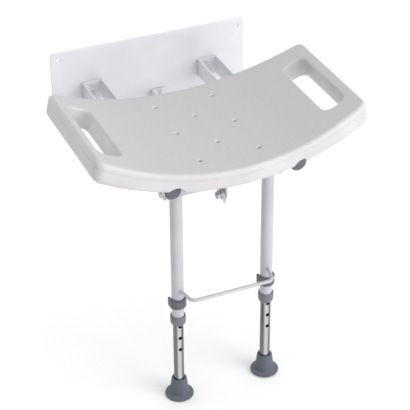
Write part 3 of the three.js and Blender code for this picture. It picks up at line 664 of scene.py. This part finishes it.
# A tool that cuts one handle opening, flared at both mouths so that its edges come out rounded
def handleTool(sign):
    made = bmesh.new()
    fillet = handle["fillet"]
    turns = [radians(a) for a in (0, 12, 26, 40, 54, 68, 80, 90)]
    mouth = [(1 - cos(turn), 1 - sin(turn)) for turn in turns]
    under = fillet * 0.6
    profile = [(-8, fillet + 8)]
    profile += [(fillet * down, fillet * out) for down, out in mouth]
    profile += [(seat["thickness"] - under * down, under * out) for down, out in reversed(mouth)]
    profile.append((seat["thickness"] + 8, under + 8))
    loops = []
    for depth, grown in profile:
        lean = handle["slope"] * depth / seat["thickness"]
        outer = seatHalf - handle["inset"] + min(grown, fillet * 0.8)
        inner = seatHalf - handle["inset"] - handle["width"] + lean - grown
        outline = roundedOutline(outer - inner, handle["length"] + 2 * grown, handle["corner"] + grown, 10)
        middle = (outer + inner) / 2
        loops.append([made.verts.new(seatPoint(sign * (middle + u), seatMiddle + v, depth))
                      for u, v in outline])
    bridge(made, loops)
    made.faces.new(loops[0])
    made.faces.new(loops[-1])
    return newPiece("handleTool", made)


drainPlaces = [(column * drain["column"], seatMiddle + row * drain["pitch"])
               for column in (-1, 1) for row in (-1, 0, 1)]
drainPlaces += [(0, seatMiddle + row * drain["pitch"]) for row in (-0.5, 0.5)]


# A tool for one drain hole with a dished mouth
def drainTool(x, y):
    mouth, radius = drain["mouth"], drain["radius"]
    surface = seatPoint(x, y, 0).z / mm
    outline = [(0, -60), (radius, -60), (radius, -2.6), (radius + 0.5, -1.9), (radius + 1.3, -1.2),
               (mouth - 0.8, -0.35), (mouth, 0.25), (mouth + 0.6, 6), (0, 6)]
    return placed(turned("drainTool", [(r, surface + z) for r, z in outline], 32), (x, y, 0))


def seatShell():
    seam, gap, lip = seat["seam"], seat["seamGap"] / 2, seat["seamLip"]
    upper = seatSlab("seatShellTop", 0, seam - gap, seat["edge"], lip)
    lower = seatSlab("seatShellUnder", seam + gap, seat["thickness"], lip, seat["edge"])
    for half in (upper, lower):
        cut(half, *[handleTool(sign) for sign in (-1, 1)])
        cut(half, *[drainTool(x, y) for x, y in drainPlaces])
    cut(lower, *[drill(groove["radius"], -450, 0, (sign * groove["x"], 0, groove["z"]), "y", 64)
                 for sign in (-1, 1)])
    for side in sides:
        places = [middleOf(f"seat_screw_{side}_{i}") for i in (1, 2, 3)]
        cut(lower, *[drill(hole["screw"], -40, 12, (place.x, place.y, 0), segments=16) for place in places])
    for half, node in ((upper, "seat_shell_upper"), (lower, "seat_shell_lower")):
        smooth(half, 32)
        standsFor(half, "seat_moulding", node)
        print(half.name, len(half.data.polygons), "faces")


seatShell()

# ---- wall plate and brackets ----

plate = {"radius": 7, "edge": 1.1, "hole": 3.2, "inset": 15}
sheetEdge = 0.5


def boxSize(node):
    low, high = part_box(node)
    return low / mm, high / mm


def wallPlate():
    low, high = boxSize("wall_plate")
    width, height = high.x - low.x, high.z - low.z
    piece = prism("wallPlate", roundedOutline(width, height, plate["radius"], 10), low.y, high.y, "xzy")
    soften(piece, plate["edge"], 3)
    tools = []
    for sx in (-1, 1):
        for sz in (-1, 1):
            outline = [(0, -9), (plate["hole"] + 1.2, -9), (plate["hole"] + 1.2, low.y - 0.05),
                       (plate["hole"], low.y + 1.0), (plate["hole"], 6), (0, 6)]
            place = (sx * (width / 2 - plate["inset"]), 0, sz * (height / 2 - plate["inset"]))
            tools.append(placed(turned("wallHole", outline, 32), place, "y"))
    for node in frame["nodes"]:
        if node.startswith(("bracket_screw_", "strut_bracket_screw_")):
            centre = middleOf(node)
            tools.append(drill(hole["screw"], -9, 9, (centre.x, 0, centre.z), "y", 20))
    cut(piece, *tools)
    standsFor(smooth(piece), "powder_coat", "wall_plate")


bracket = {"metal": 2.5, "bend": 3.2, "pivotY": -100, "pivotZ": -10}


# Holes of 5.4 mm through the back of a bracket, at its screws
def bracketHoles(*nodes):
    places = [middleOf(node) for node in nodes]
    return [drill(hole["screw"], -12, 12, (place.x, 0, place.z), "y", 20) for place in places]


def hingeBracket(side):
    node = f"hinge_bracket_{side}"
    low, high = boxSize(node)
    metal, bend = bracket["metal"], bracket["bend"]
    wallY, noseY = high.y, low.y
    outline = [(low.x, noseY - 1)] + arc((low.x + bend, wallY - bend), bend, 180, 90, 6)
    outline += arc((high.x - bend, wallY - bend), bend, 90, 0, 6)
    outline += [(high.x, noseY - 1), (high.x - metal, noseY - 1)]
    outline += arc((high.x - bend, wallY - bend), bend - metal, 0, 90, 4)
    outline += arc((low.x + bend, wallY - bend), bend - metal, 90, 180, 4) + [(low.x + metal, noseY - 1)]
    piece = prism(f"hingeBracket_{side}", outline, low.z, high.z, "xyz")
    radius = (high.z - low.z) / 2
    nose = arc((noseY + radius, bracket["pivotZ"]), radius, 90, 270, 24)
    strip = [(wallY + 1, bracket["pivotZ"] + radius)] + nose + [(wallY + 1, bracket["pivotZ"] - radius)]
    cut(piece, prism("stripTool", strip, low.x - 5, high.x + 5, "yzx"), operation="INTERSECT")
    soften(piece, sheetEdge, 2, 50)
    pivot = ((low.x + high.x) / 2, bracket["pivotY"], bracket["pivotZ"])
    cut(piece, drill(hole["pivot"], -60, 60, pivot, "x"),
        *bracketHoles(f"bracket_screw_{side}_1", f"bracket_screw_{side}_2"))
    standsFor(smooth(piece), "powder_coat", node)


def strutBracketWall():
    low, high = boxSize("strut_bracket_wall")
    pivot = middleOf("strut_washer_wall")
    radius = high.z - pivot.z
    metal, bend = bracket["metal"], bracket["bend"]
    plateX = low.x + 3
    outline = [(low.x, low.y - 1)] + arc((low.x + bend, high.y - bend), bend, 180, 90, 6)
    outline += [(high.x, high.y), (high.x, high.y - metal)]
    outline += arc((plateX + 1, high.y - metal - 1), 1, 90, 180, 3) + [(plateX, low.y - 1)]
    piece = prism("strutBracketWall", outline, low.z, high.z, "xyz")
    nose = arc((pivot.y, pivot.z), radius, 90, 270, 20)
    strip = [(high.y + 1, low.z + 2 * radius)] + nose + [(high.y + 1, low.z)]
    cut(piece, prism("stripTool", strip, low.x - 5, high.x + 5, "yzx"), operation="INTERSECT")
    soften(piece, sheetEdge, 2, 50)
    cut(piece, drill(hole["pivot"], -30, 30, (0, pivot.y, pivot.z), "x"),
        *bracketHoles("strut_bracket_screw_1", "strut_bracket_screw_2"))
    standsFor(smooth(piece), "powder_coat", "strut_bracket_wall")


wallPlate()
for side in sides:
    hingeBracket(side)
strutBracketWall()
print("wall plate and brackets made")

# ---- tubes, lugs and crossbar ----

sideTube = {"radius": 15.9, "wall": 1.6, "x": 114, "z": -10}
leg = {"x": 86, "y": -332, "radius": 11.1, "wall": 1.2, "barWall": 1.5, "barZ": -48}
lower = {"radius": 9.525, "wall": 1.5, "hole": 3.4, "pitch": 25.4, "lock": -278, "below": 4, "above": 1}


def sideTubePiece(side, sign):
    node = f"side_tube_{side}"
    low, high = boxSize(node)
    radius = sideTube["radius"]
    piece = tubeOf(f"sideTube_{side}", radius, radius - sideTube["wall"], low.y, high.y, 64)
    placed(piece, (sign * sideTube["x"], 0, sideTube["z"]), "y")
    tools = [drill(hole["pivot"], -60, 60, (sign * sideTube["x"], bracket["pivotY"], bracket["pivotZ"]), "x")]
    for i in (1, 2, 3):
        centre = middleOf(f"seat_screw_{side}_{i}")
        tools.append(drill(hole["screw"], -60, 60, (centre.x, centre.y, 0), segments=20))
    cut(piece, *tools)
    standsFor(smooth(piece), "powder_coat", node, coat=shadedTubeCoat)


def tubePlug(side, sign):
    node = f"tube_plug_{side}"
    low, high = boxSize(node)
    inside = (high.x - low.x) / 2
    dome = 3.5
    turns = [pi / 2 * i / 12 for i in range(13)]
    outline = [(inside * sin(turn), low.y + dome * (1 - cos(turn) ** 0.8)) for turn in turns]
    outline.append((inside, low.y + dome + 1.0))
    for i in range(4):       # gripping ribs inside the tube
        y = low.y + dome + 1.8 + i * 2.4
        outline += [(inside - 0.7, y), (inside - 0.05, y + 0.8), (inside - 0.05, y + 1.2),
                    (inside - 0.7, y + 1.8)]
    outline += [(inside - 1.2, high.y), (0, high.y)]
    piece = placed(turned(f"tubePlug_{side}", outline, 56), (sign * sideTube["x"], 0, sideTube["z"]), "y")
    standsFor(smooth(piece, 50), "dark_plastic", node)


def legLug(side, sign):
    node = f"leg_lug_{side}"
    low, high = boxSize(node)
    radius = 12
    topZ = sideTube["z"] - sideTube["radius"] * 0.6
    outline = arc((leg["y"], leg["barZ"]), radius, 180, 360, 24)
    outline += [(leg["y"] + 20, topZ), (leg["y"] - 20, topZ)]
    piece = prism(f"legLug_{side}", outline, low.x, high.x, "yzx")
    soften(piece, sheetEdge, 2, 50)
    tube = drill(sideTube["radius"] + joinGap, -500, 0, (sign * sideTube["x"], 0, sideTube["z"]), "y", 64)
    cut(piece, tube, drill(hole["pivot"], -200, 200, (0, leg["y"], leg["barZ"]), "x"))
    standsFor(smooth(piece), "powder_coat", node, coat=shadedTubeCoat)


def crossbar():
    low, high = boxSize("crossbar")
    piece = tubeOf("crossbar", leg["radius"], leg["radius"] - leg["barWall"], low.x, high.x, 56)
    placed(piece, (0, leg["y"], leg["barZ"]), "x")
    standsFor(smooth(piece), "powder_coat", "crossbar", coat=shadedTubeCoat)


def barTool():
    return drill(leg["radius"] + joinGap, -200, 200, (0, leg["y"], leg["barZ"]), "x", 56)


def upperLeg(side, sign):
    node = f"upper_leg_{side}"
    low, high = boxSize(node)
    piece = tubeOf(f"upperLeg_{side}", leg["radius"], leg["radius"] - leg["wall"], low.z, leg["barZ"] + 6, 56)
    placed(piece, (sign * leg["x"], leg["y"], 0))
    aboveBar = [(-200, -400), (200, -400), (200, -200), (-200, -200)]
    pin = drill(hole["lockPin"], -30, 0, (sign * leg["x"], leg["y"], lower["lock"]), "y", 24)
    cut(piece, barTool(), prism("aboveTool", aboveBar, leg["barZ"], leg["barZ"] + 40), pin)
    standsFor(smooth(piece), "powder_coat", node, coat=shadedTubeCoat)


def lowerLeg(side, sign):
    node = f"lower_leg_{side}"
    low, high = boxSize(node)
    inner = lower["radius"] - lower["wall"]
    piece = tubeOf(f"lowerLeg_{side}", lower["radius"], inner, low.z, high.z, 56, 0.4)
    placed(piece, (sign * leg["x"], leg["y"], 0))
    tools = []
    for i in range(-lower["below"], lower["above"] + 1):
        face, radius = -lower["radius"], lower["hole"]
        outline = [(0, -30), (radius + 0.35, -30), (radius + 0.35, face), (radius, face + 0.5), (radius, 0),
                   (0, 0)]
        place = (sign * leg["x"], leg["y"], lower["lock"] + i * lower["pitch"])
        tools.append(placed(turned("lockHole", outline, 32), place, "y"))
    cut(piece, *tools)
    standsFor(smooth(piece), "anodised_aluminium", node)
    # Faces inside the lower leg take the dark painted shade of the bore
    piece.data.materials.append(boreShade)
    for face in piece.data.polygons:
        centre = face.center / mm
        if hypot(centre.x - sign * leg["x"], centre.y - leg["y"]) < inner + 0.4:
            face.material_index = 1


for side, sign in sides.items():
    sideTubePiece(side, sign)
    tubePlug(side, sign)
    legLug(side, sign)
    upperLeg(side, sign)
    lowerLeg(side, sign)
crossbar()
print("tubes, plugs and lugs made")

# ---- feet, collars and clips ----

# Radius and height from the grooved sole, round the rim, up the cone and down into the socket
footOutline = [
    (0, 0), (7.6, 0), (8.0, 0.8), (9.4, 0.8), (9.8, 0), (14.6, 0), (15.0, 0.8), (16.4, 0.8), (16.8, 0),
    (21.0, 0), (21.4, 0.6), (22.4, 0.6), (22.8, 0), (24.0, 0), (25.0, 0.6), (25.7, 1.5), (26.0, 2.4),
    (26.0, 3.6), (25.7, 4.5), (24.9, 5.0), (23.0, 5.3), (20.8, 5.6), (19.3, 6.1), (18.2, 7.0), (17.4, 8.6),
    (16.9, 11.5), (16.2, 17.5), (15.5, 24.0), (14.9, 29.5), (14.4, 34.0), (14.0, 36.6), (13.6, 38.2),
    (12.8, 39), (10.5, 39), (9.9, 38.5), (9.825, 37.5), (9.825, 7.7), (0, 7.7)]


def foot(side, sign):
    node = f"foot_{side}"
    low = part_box(node)[0] / mm
    piece = placed(turned(f"foot_{side}Rubber", footOutline, 72), (sign * leg["x"], leg["y"], low.z))
    standsFor(smooth(piece, 50), "foot_rubber", node)


def collar(side, sign):
    node = f"leg_collar_{side}"
    low, high = boxSize(node)
    outer, reach = (high.x - low.x) / 2, high.z - low.z
    inner, socket = 9.8, 11.375     # round the lower tube, and round the end of the upper one
    outline = [(inner, 0.3), (inner + 0.4, 0), (outer - 3.0, 0), (outer - 2.3, 0.4), (outer - 1.7, 1.4),
               (outer - 0.8, 3.2), (outer - 0.35, 4.6), (outer - 0.1, 7), (outer, 11), (outer, reach - 1.1),
               (outer - 0.3, reach - 0.4), (outer - 0.9, reach), (socket + 0.3, reach), (socket, reach - 0.4),
               (socket, 5.3), (inner, 5.3)]
    piece = placed(turned(f"legCollar_{side}", outline, 64, ring=True), (sign * leg["x"], leg["y"], low.z))
    standsFor(smooth(piece, 40), "grey_plastic", node)


clip = {"wall": 3.4, "arm": 7, "tab": 4, "ribs": 7, "ribDepth": 0.7, "pin": 2.8, "height": 17.5}


def lockClip(side, sign):
    node = f"lock_clip_{side}"
    inner = leg["radius"] + 0.3
    outer = inner + clip["wall"]
    outline = [(inner, clip["arm"])]
    outline += arc((0, 0), inner, 0, -180, 28)
    outline += [(-inner, clip["arm"]), (-inner - clip["tab"], clip["arm"] + 1.5),
                (-outer - 0.5, clip["arm"] - 1.5)]
    steps = 12 * clip["ribs"]
    for i in range(steps + 1):
        wave = clip["ribDepth"] * (0.5 - 0.5 * cos(2 * pi * clip["ribs"] * i / steps))
        turn = radians(-180 + 180 * i / steps)
        outline.append(((outer + wave) * cos(turn), (outer + wave) * sin(turn)))
    outline += [(outer + 0.5, clip["arm"] - 1.5), (inner + clip["tab"], clip["arm"] + 1.5)]
    half = clip["height"] / 2
    piece = prism(f"lockClip_{side}", outline, -half, half)
    soften(piece, 0.6, 2, 50)
    pin = drill(clip["pin"], -inner - 1, -lower["radius"] - joinGap, (0, 0, 0), "y", 24)
    cut(piece, pin, operation="UNION")
    placed(piece, (sign * leg["x"], leg["y"], lower["lock"]))
    standsFor(smooth(piece, 40), "dark_plastic", node)


for side, sign in sides.items():
    foot(side, sign)
    collar(side, sign)
    lockClip(side, sign)
print("feet, collars and clips made")

# ---- brace rod, strut and welds ----

brace = {"z": -250, "radius": 3.3, "reach": 46, "bend": 12, "splay": 5}


def braceRod():
    endX = leg["x"] - 1.5
    cornerX = endX - brace["splay"]
    frontY = leg["y"] - brace["reach"]
    bend = brace["bend"]
    path = [Vector((-endX, leg["y"] - leg["radius"] * 0.86, brace["z"]))]
    for sign in (-1, 1):
        start = 180 if sign < 0 else 270
        path += [Vector((x, y, brace["z"])) for x, y in
                 arc((sign * (cornerX - bend), frontY + bend), bend, start, start + 90, 14)]
    path.append(Vector((endX, leg["y"] - leg["radius"] * 0.86, brace["z"])))
    # The long straights get a few points of their own
    full = []
    for a, b in zip(path, path[1:]):
        steps = max(1, int((b - a).length / 14))
        full += [a.lerp(b, k / steps) for k in range(steps)]
    full.append(path[-1])
    piece = bead("braceRod", full, [brace["radius"]] * len(full), facets=20)
    cut(piece, *[drill(leg["radius"] + joinGap, -300, -200, (sign * leg["x"], leg["y"], 0), segments=56)
                 for sign in (-1, 1)])
    standsFor(smooth(piece), "powder_coat", "brace_rod", coat=shadedTubeCoat)


strutBar = {"radius": 5, "eye": 9, "thickness": 5}


def strutPiece():
    front, back = middleOf("strut_bolt_leg"), middleOf("strut_bolt_wall")
    x = (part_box("strut")[0].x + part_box("strut")[1].x) / 2 / mm
    start, end = Vector((x, front.y, front.z)), Vector((x, back.y, back.z))
    length = (end - start).length
    made = bmesh.new()
    facets = 28
    rows = []
    stations = [6, 12, 17, 20, 22, 24, 26, 28, 31, length / 2]
    stations += [length - s for s in reversed(stations[:-1])]
    for s in stations:
        near = min(s, length - s)
        share = max(0, min(1, (near - 17) / 11))
        share = share * share * (3 - 2 * share)
        wide = 4.9 + 0.1 * share
        thin = strutBar["thickness"] / 2 * (1 - share) + strutBar["radius"] * share
        power = 4.5 - 2.5 * share        # square-edged at the flats, round along the rod
        row = []
        for k in range(facets):
            turn = 2 * pi * k / facets
            c, t = cos(turn), sin(turn)
            u = thin * copysign(abs(c) ** (2 / power), c)
            v = wide * copysign(abs(t) ** (2 / power), t)
            row.append(made.verts.new(Vector((u, s, v)) * mm))
        rows.append(row)
    bridge(made, rows)
    made.faces.new(rows[0])
    made.faces.new(rows[-1])
    piece = newPiece("strutBar", made)
    half = strutBar["thickness"] / 2
    eye = strutBar["eye"]
    eyes = []
    for s in (0, length):
        outline = [(0, -half), (eye - 0.7, -half), (eye - 0.2, -half + 0.25), (eye, -half + 0.8),
                   (eye, half - 0.8), (eye - 0.2, half - 0.25), (eye - 0.7, half), (0, half)]
        eyes.append(placed(turned("eyePiece", outline, 48), (0, s, 0), "x"))
    cut(piece, *eyes, operation="UNION")
    cut(piece, *[drill(hole["pivot"], -20, 20, (0, s, 0), "x") for s in (0, length)])
    turn = Matrix.Rotation(atan2(end.z - start.z, end.y - start.y), 4, "X")
    piece.data.transform(Matrix.Translation(start * mm) @ turn)
    standsFor(smooth(piece), "powder_coat", "strut", coat=shadedTubeCoat)


def strutBracketLeg():
    low, high = boxSize("strut_bracket_leg")
    pivot = middleOf("strut_washer_leg")
    outline = [(leg["y"] - 17, leg["barZ"] - 4), (leg["y"] - 17, pivot.z + 3), (pivot.y - 2.2, low.z + 1.0),
               (pivot.y - 0.8, low.z + 0.15), (pivot.y + 0.8, low.z + 0.15), (pivot.y + 2.4, low.z + 1.0),
               (leg["y"] + 13, pivot.z + 3), (leg["y"] + 17, leg["barZ"] - 4)]
    piece = prism("strutBracketLeg", outline, low.x, high.x, "yzx")
    soften(piece, sheetEdge, 2, 50)
    cut(piece, barTool(), drill(hole["pivot"], -30, 30, (0, pivot.y, pivot.z), "x"))
    standsFor(smooth(piece), "powder_coat", "strut_bracket_leg")


# The ripple of a hand-run weld: its bead swells and thins as it goes
def ripple(count, size):
    return [size * (1 + 0.10 * sin(pi * i / 2) + 0.05 * sin(i * 1.7)) for i in range(count)]


def weld(name, points, size, node, closed=False):
    piece = bead(name, points, ripple(len(points), size), closed, 10)
    ridesWith(smooth(piece, 80), shadedTubeCoat, node)


def legWelds(side, sign):
    points = []
    for u, v in arc((0, 0), leg["radius"], 0, 356.25, 95):
        drop = sqrt(max(0, leg["radius"] ** 2 - v ** 2))
        points.append(Vector((sign * leg["x"] + u, leg["y"] + v, leg["barZ"] - drop)))
    weld(f"legWeld_{side}", points, 1.3, f"upper_leg_{side}", closed=True)


def braceWeld(side, sign):
    endX = sign * (leg["x"] - 1.5)
    points = []
    for x, z in arc((endX, brace["z"]), brace["radius"] + 0.2, 0, 351, 39):
        y = leg["y"] - sqrt(leg["radius"] ** 2 - (x - sign * leg["x"]) ** 2)
        points.append(Vector((x, y, z)))
    weld(f"braceWeld_{side}", points, 0.9, "brace_rod", closed=True)


def lugWeld(side, sign):
    low, high = boxSize(f"leg_lug_{side}")
    x = (low.x if sign > 0 else high.x)      # on the inner face, along the tube
    z = sideTube["z"] - sqrt((sideTube["radius"] + 0.4) ** 2 - (x - sign * sideTube["x"]) ** 2)
    points = [Vector((x, leg["y"] - 17 + i * 34 / 40, z)) for i in range(41)]
    weld(f"lugWeld_{side}", points, 1.2, f"leg_lug_{side}")


def bracketWeld():
    low, high = boxSize("strut_bracket_leg")
    for name, x in (("Left", low.x), ("Right", high.x)):
        points = [Vector((x, y, z)) for y, z in
                  arc((leg["y"], leg["barZ"]), leg["radius"] + 0.2, 200, 340, 30)]
        weld(f"bracketWeld{name}", points, 0.9, "crossbar")


braceRod()
strutPiece()
strutBracketLeg()
bracketWeld()
for side, sign in sides.items():
    legWelds(side, sign)
    braceWeld(side, sign)
    lugWeld(side, sign)
print("brace, strut and welds made")

# ---- bolts, nuts, washers, screws and inserts ----

hexSize = {"corner": 7.5, "head": 5.3, "lowHead": 2, "bolt": 4, "pitch": 1.25}
hexFlat = hexSize["corner"] * cos(pi / 6)
hexFace = hexFlat * 0.97        # radius of the turned face inside the flats


def hexRadius(turn):
    return hexFlat / cos((turn % (pi / 3)) - pi / 6)


# Where the turned chamfer meets the flats, measured in from the face
def chamferDrop(turn):
    return max(0.0, hexRadius(turn) - hexFace) * 0.58


def hexHead():
    head = hexSize["head"]
    return [(0, -head + 0.25), (3.2, -head + 0.25), (3.6, -head), (hexFace, -head),
            (hexRadius, lambda t: -head + chamferDrop(t)), (hexRadius, -0.5), (hexFace, -0.4), (hexFace, 0)]


def lowHead():
    head, wide = hexSize["lowHead"], hexSize["corner"]
    return [(0, -head), (wide - 3.2, -head), (wide - 1.4, -head * 0.85), (wide - 0.5, -head * 0.55),
            (wide, -head * 0.15), (wide, 0)]


def placeFastener(piece, node, x, axis="x"):
    low, high = boxSize(node)
    placed(piece, (x, (low.y + high.y) / 2, (low.z + high.z) / 2), axis)
    standsFor(smooth(piece, 30), "zinc_steel", node)


# Head below 0, shank above, along +Z
def bolt(name, node, axis, headOutline, head):
    low, high = boxSize(node)
    length = high.x - low.x - head
    radius = hexSize["bolt"]
    threadStart = max(6, length - 13)
    outline = headOutline + [(radius + 0.4, 0), (radius, 0.4), (radius, threadStart)]
    for i in range(int((length - threadStart - 1.2) / hexSize["pitch"])):
        at = threadStart + 0.4 + i * hexSize["pitch"]
        outline += [(radius - 0.45, at), (radius - 0.45, at + 0.2), (radius, at + 0.62), (radius, at + 0.8)]
    outline += [(radius - 0.2, length - 0.8), (radius - 1.0, length), (0, length)]
    x = low.x + head if axis == "x" else high.x - head
    placeFastener(turned(name, outline, 48), node, x, axis)


def hexNut(name, node):
    low, high = boxSize(node)
    tall = high.x - low.x
    inner = hexSize["bolt"] + joinGap
    outline = [(inner, 0.5), (inner + 0.5, 0), (hexFace, 0), (hexRadius, chamferDrop),
               (hexRadius, lambda t: tall - chamferDrop(t)), (hexFace, tall), (inner + 0.5, tall),
               (inner, tall - 0.5)]
    placeFastener(turned(name, outline, 48, ring=True), node, low.x)


def washer(name, node):
    low, high = boxSize(node)
    thick, outer = high.x - low.x, (high.z - low.z) / 2
    inner = hole["pivot"]
    outline = [(inner, 0.2), (inner + 0.2, 0), (outer - 0.3, 0), (outer, 0.3), (outer, thick - 0.3),
               (outer - 0.3, thick), (inner + 0.2, thick), (inner, thick - 0.2)]
    placeFastener(turned(name, outline, 40, ring=True), node, low.x)


screw = {"radius": 2.4, "head": 4.6, "headHeight": 2.6, "recess": 2.6}


# Pan head below 0 with a cross recess, shank above
def panScrew(name, node, axis, slotName="zinc_steel"):
    low, high = boxSize(node)
    length = (high.z - low.z if axis == "z" else high.y - low.y) - screw["headHeight"]
    tall, wide = screw["headHeight"], screw["head"]
    outline = [(0, -tall), (wide * 0.45, -tall), (wide * 0.72, -tall * 0.94), (wide * 0.90, -tall * 0.72),
               (wide * 0.985, -tall * 0.42), (wide, -tall * 0.15), (wide - 0.15, 0), (screw["radius"], 0)]
    at = 1.0
    while at < length - 2.4:
        outline += [(screw["radius"], at), (screw["radius"] - 0.5, at + 0.45), (screw["radius"], at + 0.9)]
        at += 1.4
    outline += [(screw["radius"] - 0.3, length - 1.2), (0, length)]
    piece = turned(name, outline, 32)
    arms = []
    for turn in (0, 90):
        reach, half = screw["recess"], 0.45
        arm = prism("recessTool", [(-reach, -half), (reach, -half), (reach, half), (-reach, half)],
                    -tall - 1, -tall + 1.5)
        arm.data.transform(Matrix.Rotation(radians(turn + 20), 4, "Z"))
        arms.append(arm)
    cut(piece, *arms)
    centre = (low + high) / 2
    if axis == "z":
        placed(piece, (centre.x, centre.y, low.z + tall))
    else:
        placed(piece, (centre.x, low.y + tall, centre.z), "y")
    standsFor(smooth(piece, 30), slotName, node)


def insert(side):
    node = f"crossbar_insert_{side}"
    low, high = boxSize(node)
    outer = (high.z - low.z) / 2
    piece = tubeOf(f"crossbarInsert_{side}", outer, hexSize["bolt"] + joinGap, low.x, high.x, 40)
    placed(piece, (0, leg["y"], leg["barZ"]), "x")
    standsFor(smooth(piece), "zinc_steel", node)


for side, sign in sides.items():
    outward = "x" if sign < 0 else "-x"
    bolt(f"hingeBolt_{side}", f"hinge_bolt_{side}", outward, hexHead(), hexSize["head"])
    hexNut(f"hingeNut_{side}", f"hinge_nut_{side}")
    bolt(f"legBolt_{side}", f"leg_bolt_{side}", outward, hexHead(), hexSize["head"])
    insert(side)
    for i in (1, 2):
        panScrew(f"bracketScrew_{side}_{i}", f"bracket_screw_{side}_{i}", "y", "powder_coat")
    for i in (1, 2, 3):
        panScrew(f"seatScrew_{side}_{i}", f"seat_screw_{side}_{i}", "z")
for end in ("wall", "leg"):
    bolt(f"strutBolt_{end}", f"strut_bolt_{end}", "-x", lowHead(), hexSize["lowHead"])
    hexNut(f"strutNut_{end}", f"strut_nut_{end}")
    washer(f"strutWasher_{end}", f"strut_washer_{end}")
for i in (1, 2):
    panScrew(f"strutBracketScrew_{i}", f"strut_bracket_screw_{i}", "y", "powder_coat")
print("fasteners made")
